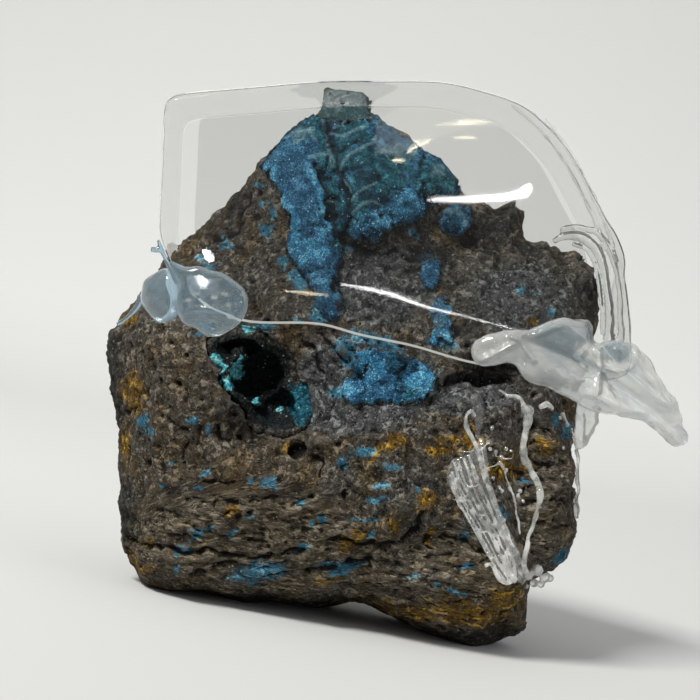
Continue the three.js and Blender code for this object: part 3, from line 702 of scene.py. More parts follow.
# %% What the rock's material reads
BLUE_SPOTS = [
    (141, 421, 8, 6, 0), (150, 431, 9, 6, -35), (208, 432, 4, 6, 0), (173, 463, 3, 4, 0),
    (206, 474, 9, 4, 35), (163, 484, 5, 3, 0), (197, 489, 5, 2.5, 0), (270, 483, 11, 8, -20),
    (300, 501, 8, 3.5, 0), (310, 525, 3, 4, 0), (322, 520, 5, 8, 0), (250, 517, 4, 3, 0),
    (208, 528, 9, 4, 10), (193, 537, 9, 6, 25), (180, 552, 11, 6, 25), (173, 569, 4, 4, 0),
    (232, 534, 4, 3, 0), (262, 574, 34, 11, 8), (303, 550, 12, 4, 12), (345, 571, 22, 5, 22),
    (383, 486, 11, 5, 10), (373, 533, 6, 5, 0), (362, 521, 22, 2.5, 5), (420, 491, 6, 4, 0),
    (463, 537, 7, 6, -35), (413, 578, 8, 3, 0), (437, 585, 6, 5, 0), (458, 594, 11, 3.5, -8),
    (566, 556, 17, 8, 22), (569, 430, 6, 11, 0), (556, 420, 6, 8, 0), (522, 290, 4, 5, 0),
    (534, 294, 4, 3, 0), (551, 313, 5, 3, 0), (202, 256, 10, 7, 40), (224, 244, 8, 9, -20),
    (272, 213, 6, 8, 0), (262, 202, 6, 3, 0), (210, 268, 10, 5, 0), (257, 186, 6, 5, 0),
    (524, 480, 9, 6, 0), (500, 516, 7, 8, 0), (362, 452, 14, 6, 0), (394, 468, 8, 4, 0),
    (334, 568, 20, 4, 10), (190, 420, 8, 3, -20), (344, 462, 8, 8, 0), (376, 500, 12, 3, 5),
    (466, 566, 9, 4, 0), (250, 480, 5, 6, 0),
]
CRUST_HEM = [
    (300, 278, 16, 14, 0), (322, 306, 12, 9, -20), (330, 318, 8, 6, 0), (268, 232, 8, 9, 0),
    (284, 262, 9, 7, 0), (345, 250, 14, 8, 0), (340, 345, 9, 12, -30), (352, 362, 12, 10, 0),
    (428, 262, 9, 15, 8), (437, 312, 9, 16, -10), (441, 335, 12, 14, 0), (450, 345, 6, 8, 0),
    (365, 395, 30, 8, 0), (262, 330, 14, 6, 0), (205, 330, 12, 9, 0), (415, 235, 8, 6, 0),
    (300, 320, 8, 4, 0), (324, 285, 7, 18, 0), (364, 339, 20, 9, -8), (388, 346, 16, 9, -15),
    (350, 349, 9, 10, 0), (340, 392, 12, 8, 0), (420, 378, 20, 14, 20), (385, 122, 18, 7, -12),
    (408, 143, 16, 8, -35), (298, 120, 14, 8, 40), (436, 160, 16, 6, -20), (318, 318, 9, 7, 0),
    (428, 282, 8, 10, 0),
]
OCHRE_SPOTS = [
    (374, 456, 9, 10, 0), (392, 443, 20, 11, 18), (443, 450, 24, 11, 8), (452, 440, 12, 7, 20),
    (428, 500, 17, 15, 0), (430, 535, 8, 12, 0), (392, 525, 10, 9, 0), (356, 538, 17, 11, 10),
    (348, 548, 12, 7, 0), (150, 568, 11, 6, 0), (148, 543, 7, 8, 0), (328, 582, 24, 6, 5),
    (545, 446, 15, 10, 0), (532, 322, 10, 7, 30), (128, 318, 15, 7, 28), (232, 511, 9, 12, -20),
    (288, 447, 7, 12, -10), (470, 440, 16, 14, 0), (500, 470, 30, 14, 0), (400, 610, 60, 12, -8),
    (470, 612, 60, 18, -8), (505, 600, 22, 24, 0), (150, 590, 22, 10, 0), (132, 392, 13, 30, 0),
    (124, 440, 8, 24, 0), (131, 560, 10, 24, 0), (360, 608, 50, 10, -3),
]
SHADOWED = [
    (455, 378, 45, 12, 6), (480, 232, 44, 26, -25), (335, 225, 14, 70, -8), (360, 250, 24, 16, 0),
    (540, 252, 52, 12, -8), (298, 449, 10, 12, 25), (250, 400, 50, 48, 0), (505, 372, 28, 10, 0),
    (222, 232, 22, 14, 40), (150, 590, 40, 16, 0), (300, 606, 150, 12, 0), (440, 640, 70, 16, 0),
    (528, 425, 10, 10, 0), (420, 250, 26, 12, 20), (236, 205, 20, 14, 45), (112, 390, 18, 90, 0),
    (124, 530, 16, 60, 0), (478, 636, 60, 18, 0), (240, 603, 90, 12, 4), (498, 226, 34, 16, 30),
    (556, 250, 48, 10, 14), (430, 258, 30, 22, 0), (590, 300, 12, 40, 0),
]
LOBE = [(178, 385, 75, 75, -30), (230, 470, 120, 60, 0), (250, 540, 150, 70, 0)]
seen = looks > 0.05
wander = np.stack([swell(p, 1.6, 61), swell(p, 1.6, 62)], axis=1) * 5
wx, wy = x + wander[:, 0], y + wander[:, 1]
back_spots = layered(p, 6, 3, seed=77) - 0.62
blue = np.where(seen, np.maximum(marked(wx, wy, BLUE_SPOTS), marked(wx, wy, CRUST_HEM)), back_spots * 2)
ochre = np.where(seen, marked(wx, wy, OCHRE_SPOTS), layered(p, 9, 3, seed=78) * 1.2 - 0.25)
shadowed = np.where(seen, marked(wx, wy, SHADOWED), -1.0)
final_normals = normals_of(rock)
# How far each point lies below its neighbours. The material paints shade into these hollows and a highlight
# on the crests.
hollowness = np.einsum("ij,ij->i", averaged(rock, moved, 8) - moved, final_normals)
paint(rock, "blue", np.clip(blue, -2, 1))
paint(rock, "ochre", np.clip(ochre, -2, 1))
paint(rock, "shadowed", np.clip(shadowed, -2, 1))
paint(rock, "granular", granular)
paint(rock, "tip", tip)
paint(rock, "tip_low", smooth(*TIP_TOP, y + 2 * swell(p, 1.5, 63)))
paint(rock, "lobe", smooth(0.0, 0.3, marked(wx, wy, LOBE)) * seen)
paint(rock, "bedded", bedded)
paint(rock, "hollow", np.clip(hollowness / 0.3, -1, 1))
print("hollows from", round(float(hollowness.min()), 2), "to", round(float(hollowness.max()), 2), "mm")

# %% Weathered stone: wrinkles, pores and specks, with the bedding drawn out level
weathered, w, given, out = new_group(
    "weathered",
    {"Place": ("vector", (0, 0, 0)), "Size": ("number", 1.0)},
    {"Tone": "number", "Height": "number", "Pore": "number"},
)
near = w.zoomed(given)
folds = w.noise(near, 1.05, detail=5, rough=0.68, twist=0.9)
wrinkle = w.span(w.math("ABSOLUTE", w.minus(folds, 0.5)), 0.0, 0.05, 1, 0)
specks = w.noise(near, 0.19, detail=2, rough=0.6)
crumbs = w.cells(near, 0.42)
crumb_tone = w.parts(crumbs.outputs["Color"])
pit = w.times(w.math("LESS_THAN", crumb_tone["Green"], 0.085), w.span(crumbs.outputs["Distance"], 0.5, 0.3))
w.put(out.inputs["Pore"], pit)
tone = w.plus(w.around(folds, 1.9), w.around(specks, 1.1))
tone = w.plus(tone, w.around(crumb_tone["Red"], 0.34))
tone = w.minus(tone, w.times(wrinkle, 0.26))
w.put(out.inputs["Tone"], w.plus(tone, 0.54, clamp=True))
crumb_height = w.minus(1.0, crumbs.outputs["Distance"])
raised = w.plus(w.times(folds, 1.5), w.times(crumb_height, 0.3))
raised = w.minus(raised, w.times(wrinkle, 0.3))
raised = w.plus(raised, w.times(specks, 0.25))
w.put(out.inputs["Height"], w.minus(raised, w.times(pit, 0.8)))

# %% Rock material
stone, w, surface = new_material("matrix_stone", {"Specular IOR Level": 0.14})
place = w.where()
drawn_out = w.vector("MULTIPLY", place, (0.45, 0.7, 1.35))
lying = w.mix(w.times(w.stored("bedded"), 0.9), place, drawn_out, "Vector")
fine = use_group(w, weathered, {"Place": lying, "Size": 1.0})
mottle = w.noise(place, 4.5, detail=4, rough=0.6, twist=0.4)
patch = w.noise(place, 2.1, detail=4, rough=0.6)
tone = w.plus(fine["Tone"], w.around(patch, 0.7), clamp=True)
brown = w.shade(tone, (0.007, 0.006, 0.005), (0.067, 0.056, 0.041), (0.23, 0.20, 0.155))
grey = w.shade(tone, (0.007, 0.0075, 0.008), (0.062, 0.066, 0.066), (0.20, 0.215, 0.215))
warm = w.shade(tone, (0.012, 0.007, 0.003), (0.080, 0.054, 0.022), (0.22, 0.155, 0.08))
zone = w.span(w.plus(w.stored("granular"), w.around(mottle, 1.6)), 0.3, 0.9)
body = w.mix(w.span(w.stored("lobe"), 0, 1, 0.35, 0), brown, grey)
body = w.mix(w.span(mottle, 0.44, 0.66, 0, 0.85), body, warm)
body = w.mix(zone, body, grey)
# A paler tone over the bedded faces, and more faintly over the back.
bedding_pale = w.shade(tone, (0.022, 0.018, 0.012), (0.125, 0.10, 0.064), (0.32, 0.27, 0.19))
body = w.mix(w.span(w.stored("bedded"), 0.1, 0.9, 0, 0.48), body, bedding_pale)
fray = w.noise(place, 1.1, detail=5, rough=0.7)
frayed = w.around(fray, 2.6)
ochre_mask = w.span(w.plus(w.stored("ochre"), frayed), 0.05, 0.6)
ochre_colour = w.shade(tone, (0.02, 0.010, 0.001), (0.19, 0.10, 0.005), (0.62, 0.37, 0.02), at=0.55)
body = w.mix(w.times(ochre_mask, 0.85), body, ochre_colour)
speck = w.around(w.noise(place, 0.42, detail=3, rough=0.6), 1.7)
blue_mask = w.span(w.plus(w.stored("blue"), w.plus(w.times(frayed, 0.6), speck)), 0.0, 0.4)
blue_tone = w.plus(w.times(fine["Tone"], 0.7), w.times(w.minus(patch, 0.2), 0.45))
blue_colour = w.shade(blue_tone, (0.006, 0.035, 0.06), (0.04, 0.18, 0.28), (0.26, 0.62, 0.76))
body = w.mix(w.times(blue_mask, 0.88), body, blue_colour)
tip_colour = w.mix(w.span(w.stored("tip_low"), 0.3, 0.7), (0.30, 0.36, 0.375), (0.04, 0.12, 0.14))
body = w.mix(w.times(w.stored("tip"), 0.9), body, w.mix(0.25, tip_colour, grey))
dark_mask = w.span(w.plus(w.stored("shadowed"), frayed), 0.0, 0.6)
body = w.mix(w.times(dark_mask, 0.75), body, (0.005, 0.005, 0.005))
# Painted shade: near-black in the hollows of the relief.
body = w.mix(w.span(w.stored("hollow"), 0.05, 0.7, 0, 0.9), body, (0.004, 0.0035, 0.003))
# Painted shade: near-black in the pores, the shade inside tiny pits.
body = w.mix(w.times(fine["Pore"], 0.85), body, (0.002, 0.002, 0.002))
# Painted highlight: paler on the crests of the relief.
body = w.mix(w.span(w.stored("hollow"), -0.1, -0.8, 0, 0.25), body, (0.24, 0.22, 0.19))
rough_normal = w.bump(fine["Height"], 0.42)
share = w.blend(w.stored("granular"), 0.015, 0.06)
glint = use_group(w, sparkle, {"Place": place, "Size": 0.24, "Share": share, "Normal": rough_normal})
# Painted glint: the sparkling faces are made pale as well as smooth and tilted.
body = w.mix(w.times(glint["Mask"], 0.5), body, (0.5, 0.5, 0.48))
w.put(surface.inputs["Base Color"], body)
w.put(surface.inputs["Roughness"], w.blend(glint["Mask"], 0.7, 0.2))
w.put(surface.inputs["Normal"], w.mix(glint["Mask"], rough_normal, glint["Normal"], "Vector"))
add_piece("matrix_rock", rock, [stone], "matrix")
rock_faces = [list(face.vertices) for face in rock.polygons]
rock_tree = BVHTree.FromPolygons([Vector(q) for q in moved], rock_faces)

# %% [markdown]
# ## The blue crusts
#
# Shattuckite grows as tufts of very fine needles. Where tufts meet they make fans and cushions with pale
# rims, like velvet pressed in patches. The needles are far too fine to model one by one. So each crust
# takes its body from the CAD solid, its fans are domes raised on it, and the needles are streaks in the
# colour and the relief that run out from the middle of each fan.

# %% Fans, lines and zones of the crusts, in picture pixels
FANS = [  # middle, or the point that its needles run out from, and half size
    (337, 170, 46), (300, 170, 30), (304, 205, 26), (312, 245, 24), (322, 285, 16), (345, 235, 20),
    (330, 205, 14), (368, 205, 26), (380, 228, 20), (398, 160, 28), (404, 206, 22), (440, 176, 22),
    (436, 205, 14), (453, 223, 15), (428, 275, 16), (438, 320, 18), (362, 358, 20), (350, 388, 18),
    (380, 384, 22), (396, 362, 18), (420, 390, 18),
]
PALE_LINES = [
    [(334, 127), (345, 121), (357, 118), (369, 119)],
    [(331, 133), (339, 135), (348, 134), (356, 129), (364, 126)],
    [(339, 168), (343, 160), (352, 152), (362, 147), (371, 143), (377, 135)],
    [(321, 114), (324, 122), (326, 133), (328, 144), (330, 154), (332, 166)],
    [(290, 132), (300, 130), (309, 131), (315, 139)], [(311, 156), (320, 154), (329, 153)],
    [(337, 173), (342, 179), (350, 189)], [(296, 141), (305, 134), (313, 129)],
    [(350, 198), (358, 190), (366, 185), (376, 181)], [(352, 212), (361, 203), (372, 200), (382, 205)],
    [(322, 186), (329, 196), (334, 208)],
    [(446, 211), (458, 209), (466, 214), (469, 223), (466, 233), (458, 240), (449, 241)],
    [(409, 224), (414, 233), (421, 240), (430, 247), (440, 249)],
]
DARK_LINES = [
    [(327, 120), (330, 134), (333, 150), (336, 166), (341, 180), (344, 192)],
    [(344, 192), (347, 206), (346, 222), (343, 238)], [(426, 184), (429, 198), (432, 210)],
    [(316, 162), (323, 178), (328, 192), (331, 210)], [(330, 212), (334, 226), (338, 240)],
    [(338, 150), (346, 144), (356, 141)], [(398, 352), (402, 366), (399, 380)],
    [(366, 366), (360, 374), (352, 376)],
]
BRIGHT_LINES = [
    [(262, 166), (268, 178), (274, 190), (282, 200), (290, 211), (295, 224), (296, 238), (292, 250)],
    [(321, 206), (325, 218), (326, 232)], [(312, 170), (320, 186), (324, 196)],
    [(298, 262), (310, 254), (324, 252)], [(411, 192), (420, 202), (423, 218)],
    [(411, 381), (420, 377), (430, 379), (434, 386), (431, 396)], [(345, 398), (352, 403), (370, 405)],
    [(384, 404), (400, 406), (420, 404)], [(360, 356), (372, 362), (380, 372)], [(432, 336), (431, 342)],
    [(447, 334), (450, 342)],
]
GREEN_ZONES = [
    (378, 172, 44, 36, 0), (356, 205, 20, 26, 0), (436, 178, 26, 24, -20), (418, 385, 18, 12, 10),
    (336, 152, 24, 40, 4), (352, 132, 30, 18, 0), (312, 128, 24, 12, 20), (362, 160, 22, 20, 30),
    (334, 200, 13, 34, 0), (344, 228, 14, 20, 0), (444, 180, 22, 22, 0), (335, 245, 10, 8, 0),
    (410, 388, 8, 14, 0),
]
DEEP_ZONES = [
    (343, 182, 9, 20, 0), (347, 212, 9, 26, 0), (366, 172, 20, 14, 0), (453, 220, 15, 17, 0),
    (424, 208, 8, 14, 0), (402, 362, 22, 18, -20), (432, 198, 10, 8, 0), (378, 236, 16, 8, 20),
    (428, 290, 8, 6, 0), (372, 196, 20, 16, 0), (358, 392, 10, 6, 0), (334, 140, 6, 22, 5),
    (398, 392, 8, 12, 0),
]
PALE_ZONES = [
    (398, 148, 28, 16, -15), (411, 205, 9, 15, 10), (296, 134, 14, 8, 30), (440, 172, 14, 10, 0),
    (344, 112, 26, 8, 0), (438, 322, 12, 10, 0),
]
LIVELY_ZONES = [
    (410, 205, 17, 24, 20), (386, 218, 22, 14, 10), (268, 175, 10, 20, -30), (362, 360, 22, 12, -25),
    (424, 390, 14, 12, 0), (372, 372, 14, 12, 0), (350, 388, 12, 10, 0), (320, 225, 8, 24, 0),
    (310, 250, 20, 16, 0), (360, 222, 14, 12, 0),
]


def nearest_fan(x, y):
    """For each point, the number of the fan that it belongs to and how near the next fan is."""
    away = np.stack([np.hypot(x - fan_x, y - fan_y) / half for fan_x, fan_y, half in FANS])
    order = np.argsort(away, axis=0)
    columns = np.arange(len(x))
    return order[0], away[order[1], columns] - away[order[0], columns]


def near_lines(x, y, lines, half_width):
    """1 on any of the lines, falling to 0 at half_width pixels from it."""
    away = np.min([from_line(x, y, line) for line in lines], axis=0)
    return np.clip(1 - away / half_width, -1, 1)


FAN_MIDDLES = np.array([placed(fan_x, fan_y, -10) for fan_x, fan_y, _ in FANS])


# %% Crust outlines
def inside_outline(x, y, grow=2, reach=16):
    """How many pixels each point of a piece lies inside the outline of all its points, as seen."""
    across = np.clip(np.round(x).astype(int), 0, PICTURE_SIZE - 1)
    down = np.clip(np.round(y).astype(int), 0, PICTURE_SIZE - 1)
    covered = np.zeros((PICTURE_SIZE, PICTURE_SIZE), bool)
    covered[down, across] = True
    for _ in range(grow):
        covered = with_neighbours(covered, np.logical_or)
    depth = np.zeros(covered.shape)
    for _ in range(reach + grow):
        depth += covered
        covered = with_neighbours(covered, np.logical_and)
    return depth[down, across] - grow


def with_neighbours(picture, join):
    """A picture joined with its four neighbours."""
    joined = picture
    for axis in (0, 1):
        for step in (-1, 1):
            joined = join(joined, np.roll(picture, step, axis=axis))
    return joined


# %% Crust meshes
CREST = [  # the crust's upper outline in picture pixels
    (240, 190), (255, 172), (262, 163), (283, 135), (300, 122), (313, 113), (320, 117), (345, 120),
    (367, 117), (385, 121), (395, 127), (410, 137), (425, 150), (440, 157), (462, 182), (480, 208),
]
CREST_ENDS = (300, 250)  # heights in the picture between which the crest stops counting
RAGGED = 5.0  # how far the rim of a crust wanders, in pixels


def crust_mesh(node, voxel, lift, thin, edge):
    """A crust node with its fans, ridges and tufts raised on it, and its underside sunk into the rock."""
    mesh = remeshed(node, voxel, 5)
    p = points_of(mesh)
    n = normals_of(mesh)
    x, y, _ = picture_of(p)
    looks = facing_eye(p, n)
    face = smooth(0.0, 0.5, looks)
    wx = x + 3.0 * swell(p, 1.6, 81) + 1.8 * swell(p, 0.6, 83)
    wy = y + 3.0 * swell(p, 1.6, 82) + 1.8 * swell(p, 0.6, 84)
    number, gap = nearest_fan(wx, wy)
    pale = near_lines(x + 0.8 * swell(p, 0.9, 88), y + 0.8 * swell(p, 0.9, 89), PALE_LINES, 3.2)
    dark = near_lines(wx, wy, DARK_LINES, 5.0)
    relief = 0.34 * layered(p, 2.6, 2, seed=85) + lift * (smooth(0.0, 0.35, gap) - 0.6)
    tufts, _, tuft_number = grains(p, 0.62, seed=86)
    relief += (0.5 - tufts) * 0.26 + (tuft_number - 0.5) * 0.1
    relief += 0.16 * np.clip(pale, 0, 1) - 0.75 * np.clip(dark, 0, 1)
    moved = p + n * (relief * face)[:, None]
    moved += np.outer(smooth(0.15, -0.35, looks), [0, 1, 0])
    crest = np.interp(x, *zip(*CREST))
    over = np.maximum(crest + 1.2 * swell(p, 1.0, 80) - y, 0) * smooth(*CREST_ENDS, y)
    moved -= np.outer(over / PIXELS_PER_MM, UP)
    set_points(mesh, moved)
    found = [rock_tree.find_nearest(Vector(q)) for q in moved]
    foot = np.array([hit[0] for hit in found])
    up = np.array([hit[1] for hit in found])
    thickness = np.maximum(np.einsum("ij,ij->i", moved - foot, up), 0)
    x, y, _ = picture_of(moved)
    inner = inside_outline(x, y) + RAGGED * (0.9 * swell(p, 1.3, 71) + 0.7 * swell(p, 0.55, 72))
    kept = smooth(0.0, 3.0, inner - edge)
    raised = kept * (thin * thickness + (1 - thin) * 0.7 * thickness / (0.7 + thickness))
    pressed = foot + (moved - foot) * (raised / np.maximum(thickness, 1e-3))[:, None]
    pressed -= up * (0.2 * (1 - kept))[:, None]
    moved = np.where((thickness > 0)[:, None], pressed, moved)
    set_points(mesh, moved)
    paint(mesh, "margin", smooth(6.0, 1.0, inner - edge))
    ragged = 0.35 * swell(p, 0.9, 87)
    for axis, letter in enumerate("xyz"):
        paint(mesh, "fan_" + letter, FAN_MIDDLES[number][:, axis])
    paint(mesh, "fan_tone", hashed(np.stack([number, number * 0, number * 0], axis=1), 7))
    paint(mesh, "pale_line", pale)
    paint(mesh, "dark_line", dark)
    paint(mesh, "bright_line", near_lines(wx, wy, BRIGHT_LINES, 6.5))
    for zone, marks in (
        ("green", GREEN_ZONES),
        ("deep", DEEP_ZONES),
        ("pale", PALE_ZONES),
        ("lively", LIVELY_ZONES),
    ):
        paint(mesh, zone, np.clip(marked(wx, wy, marks) + ragged, -1, 1))
    # How far each point lies below its neighbours. The material paints shade into these hollows.
    low = np.einsum("ij,ij->i", averaged(mesh, moved, 6) - moved, normals_of(mesh))
    paint(mesh, "hollow", np.clip(low / 0.2, -1, 1))
    return mesh


# %% Needles: streaks that run out from the middle of each fan
needles, w, given, out = new_group("needles", {"Place": ("vector", (0, 0, 0))}, {"Streak": "number"})
middle = w.vector_of(w.stored("fan_x"), w.stored("fan_y"), w.stored("fan_z"))
arm = w.axes(w.vector("SUBTRACT", given["Place"], middle))
angle = w.math("ARCTAN2", arm["Z"], arm["X"])
reach = w.math("SQRT", w.plus(w.times(arm["X"], arm["X"]), w.times(arm["Z"], arm["Z"])))
spread = w.vector_of(w.times(angle, 9.0), w.times(reach, 0.8), w.stored("fan_tone"))
w.put(out.inputs["Streak"], w.noise(spread, 1.0, detail=4, rough=0.7))

# %% Crust material
velvet, w, surface = new_material("shattuckite_velvet", {"Specular IOR Level": 0.12})
place = w.where()
fibre = use_group(w, needles, {"Place": place})["Streak"]
fine = use_group(w, grit, {"Place": place, "Size": 0.2, "Contrast": 1.2})
curl = w.noise(place, 0.34, detail=2, rough=0.6, twist=1.6)
soft = w.noise(place, 1.5, detail=4, rough=0.6)
streaky = w.span(w.stored("green"), -0.1, 0.5, 0.25, 0.8)
streak = w.blend(streaky, curl, fibre)
specks = w.noise(place, 0.2, detail=2, rough=0.6)
value = w.plus(w.around(streak, 1.5), w.around(specks, 1.5))
value = w.plus(value, w.around(soft, 1.5))
value = w.plus(value, w.plus(0.46, w.around(w.stored("fan_tone"), 0.16)), clamp=True)
azure = w.shade(value, (0.002, 0.014, 0.034), (0.016, 0.076, 0.150), (0.12, 0.32, 0.48))
teal = w.shade(value, (0.001, 0.007, 0.012), (0.005, 0.050, 0.074), (0.05, 0.21, 0.26))
deep = w.shade(value, (0.0005, 0.004, 0.009), (0.002, 0.020, 0.038), (0.014, 0.09, 0.14))
bright = w.shade(value, (0.006, 0.05, 0.10), (0.03, 0.165, 0.30), (0.26, 0.60, 0.72))
faded = w.shade(value, (0.03, 0.075, 0.10), (0.10, 0.18, 0.215), (0.28, 0.42, 0.44))
fray = w.around(w.noise(place, 0.9, detail=4, rough=0.65), 1.3)
body = azure
for zone, colour, low, high, most in (
    ("green", teal, 0.0, 0.45, 1),
    ("pale", faded, 0.15, 0.8, 0.6),
    ("deep", deep, 0.05, 0.55, 0.9),
    ("lively", bright, 0.05, 0.5, 0.75),
    ("bright_line", bright, 0.1, 0.5, 0.92),
):
    body = w.mix(w.span(w.plus(w.stored(zone), fray), low, high, 0, most), body, colour)
body = w.mix(w.span(w.stored("pale_line"), 0.15, 0.85, 0, 0.6), body, faded)
body = w.mix(w.span(w.plus(w.stored("dark_line"), fray), 0.2, 0.9, 0, 0.75), body, (0.002, 0.008, 0.010))
# Painted shade: near-black in the crust's hollows.
body = w.mix(w.span(w.stored("hollow"), 0.1, 0.8, 0, 0.85), body, (0.001, 0.006, 0.010))
bare = w.shade(fine["Tone"], (0.004, 0.005, 0.005), (0.028, 0.028, 0.026), (0.15, 0.145, 0.13))
crumble = w.around(w.noise(place, 0.5, detail=4, rough=0.65), 2.2)
body = w.mix(w.span(w.plus(w.stored("margin"), w.plus(fray, crumble)), 0.55, 1.0, 0, 0.9), body, bare)
share = w.span(w.stored("lively"), -0.2, 0.5, 0.012, 0.12)
glint = use_group(w, sparkle, {"Place": place, "Size": 0.2, "Share": share})
# Painted glint: the sparkling faces are made pale as well as smooth.
body = w.mix(w.times(glint["Mask"], 0.6), body, (0.40, 0.68, 0.74))
w.put(surface.inputs["Base Color"], body)
w.put(surface.inputs["Roughness"], w.blend(glint["Mask"], 0.7, 0.25))
height = w.plus(w.times(streak, 1.1), w.times(fine["Height"], 0.4))
w.put(surface.inputs["Normal"], w.bump(height, 0.26))

# %% Crust pieces
for name, node, voxel, lift, thin, edge in (
    ("shattuckite_fans", "shattuckite_crust", 0.24, 0.28, 0.85, 1),
    ("shattuckite_button", "shattuckite_knob", 0.16, 0.1, 0.7, 0),
    ("shattuckite_upper_streak", "shattuckite_streak_upper", 0.16, 0.1, 0.2, 1),
    ("shattuckite_lower_streak", "shattuckite_streak_lower", 0.16, 0.1, 0.2, 1),
    ("shattuckite_patch", "shattuckite_lower_patch", 0.17, 0.35, 0.35, 1),
):
    add_piece(name, crust_mesh(node, voxel, lift, thin, edge), [velvet], node)

# %% [markdown]
# ## The vug
#
# The hollow in the face is lined with a dark, lumpy crust that has grown on its walls, and a few
# turquoise nodules stand on it. Its near-black colour is partly the crust's own and partly painted shade
# deep in the hollow. Everything in it is one crust. The CAD solid gives the hollow and the lumps, and
# small domes on it make the lining look grown.

# %% Vug lining
TURQUOISE = [
    (220, 366, 9, 12, 10), (237, 371, 9, 12, 0), (226, 383, 10, 8, 0), (256, 401, 6, 4, 0),
    (280, 408, 5, 4, 0), (301, 404, 17, 27, 10), (204, 333, 10, 7, 0), (250, 329, 14, 6, 0),
    (228, 385, 8, 6, 0), (214, 358, 5, 6, 0), (240, 358, 5, 6, 0),
]
DUSKY = [(301, 402, 26, 36, 8)]
lining = remeshed("vug_crust", 0.2, 2)
p = points_of(lining)
n = normals_of(lining)
x, y, _ = picture_of(p)
lumps, _, _ = grains(p, 1.25, seed=91)
small, _, _ = grains(p, 0.5, seed=92)
relief = (0.5 - lumps) * 0.42 + (0.5 - small) * 0.16 + 0.1 * layered(p, 0.8, 2, seed=93)
moved = p + n * relief[:, None]
inner = inside_outline(x, y, grow=1, reach=8)
flat_normal = n - np.outer(n @ AWAY, AWAY)
moved += flat_normal * (0.75 * smooth(4.0, 0.0, inner))[:, None]
set_points(lining, moved)
paint(lining, "margin", smooth(6.0, 1.0, inner + 2.5 * swell(p, 0.8, 96)))
wx, wy = x + 2.5 * swell(p, 0.8, 94), y + 2.5 * swell(p, 0.8, 95)
paint(lining, "turquoise", np.clip(marked(wx, wy, TURQUOISE), -1, 1))
paint(lining, "dusky", np.clip(marked(x, y, DUSKY), -1, 1))

lining_finish, w, surface = new_material("vug_lining", {"Roughness": 0.55, "Specular IOR Level": 0.1})
place = w.where()
fine = use_group(w, grit, {"Place": place, "Size": 0.3, "Contrast": 1.2})
tone = fine["Tone"]
# Painted shade: the near-black stands partly for the shade deep in the hollow.
black = w.shade(tone, (0.001, 0.001, 0.001), (0.003, 0.0045, 0.0045), (0.016, 0.026, 0.026), at=0.55)
turquoise = w.shade(tone, (0.006, 0.07, 0.09), (0.045, 0.26, 0.31), (0.36, 0.74, 0.75))
dusky = w.shade(tone, (0.001, 0.014, 0.022), (0.003, 0.042, 0.064), (0.03, 0.19, 0.25), at=0.55)
turquoise = w.mix(w.span(w.stored("dusky"), 0.1, 0.5), turquoise, dusky)
shape = w.plus(w.stored("turquoise"), w.around(w.noise(place, 0.9, detail=4), 0.9))
body = w.mix(w.span(shape, 0.15, 0.4), black, turquoise)
rim = w.shade(tone, (0.004, 0.004, 0.004), (0.034, 0.030, 0.025), (0.14, 0.13, 0.11))
body = w.mix(w.times(w.stored("margin"), w.span(shape, 0.4, 0.0)), body, rim)
glint = use_group(w, sparkle, {"Place": place, "Size": 0.25, "Share": 0.02})
# Painted glint: the sparkling faces are made pale.
body = w.mix(w.times(glint["Mask"], 0.4), body, (0.4, 0.6, 0.6))
w.put(surface.inputs["Base Color"], body)
w.put(surface.inputs["Normal"], w.bump(fine["Height"], 0.2))
add_piece("vug_crust_lining", lining, [lining_finish], "vug_crust")

# %% [markdown]
# ## The clear guard
#
# The guard is a cut piece of formed plastic, like the front of a blister pack: a flat face with a rim that
# turns back towards the rock. Plastic this thin shows mostly by its edges, its creases and what it
# mirrors, so it needs a real thickness, round edges and a face that isn't quite flat.

# %% Clear plastic
def clear_material(name, colour, roughness, ior, transmission, coat=()):
    values = {"Base Color": colour, "Roughness": roughness, "IOR": ior, "Transmission Weight": transmission}
    return new_material(name, {**values, **dict(coat)})[0]


thin_coat = {"Coat Weight": 0.06, "Coat Roughness": 0.05}
GUARD_MATERIALS = {
    "face": clear_material("clear_sheet", (0.765, 0.77, 0.755), 0.02, 1.46, 1.0),
    "rim": clear_material("clear_rim", (0.905, 0.91, 0.90), 0.03, 1.035, 1.0, thin_coat),
    "cut": clear_material("cut_edge", (0.90, 0.91, 0.90), 0.35, 1.2, 0.25),
    "fold": clear_material("folded_edge", (0.62, 0.63, 0.60), 0.35, 1.2, 0.35),
}


def let_light_through(piece):
    """Lamps light what is behind a clear piece, as they do through the real one."""
    piece.visible_shadow = False
    piece.visible_diffuse = False


# %% Guard's shape
GUARD_OUTLINE = [  # its front edge as seen, mm to the right and up, clockwise from the upper left
    (-23.2, 34.3), (-14, 35.2), (-4.4, 36), (4, 36.1), (12.1, 36), (17.6, 34.8), (23.1, 32.9),
    (27.1, 29.5), (29.9, 26.1), (32.5, 21.2), (34.8, 16.9), (36.7, 12.5), (37.2, 7.3), (37.7, 3.3),
    (37.9, -1.2), (36.4, -3.8), (28, -4.2), (17.2, -2.9), (12, -1.6), (8, -0.4), (0.7, 1.1), (-4.5, 2.5),
    (-14, 2.8), (-20, 5.3), (-22.9, 8.7), (-24.5, 12.7), (-25.6, 15.9), (-25.2, 25.1), (-24.8, 33),
]
GUARD_FRONT = -19
GUARD_BACK = 1.5
GUARD_WALL = 0.2
GUARD_BEND = 1.1
GUARD_MIDDLE = np.array([3.5, 15.0])
GUARD_STEPS = 360


CURVE_PARTS = 24  # between two given points


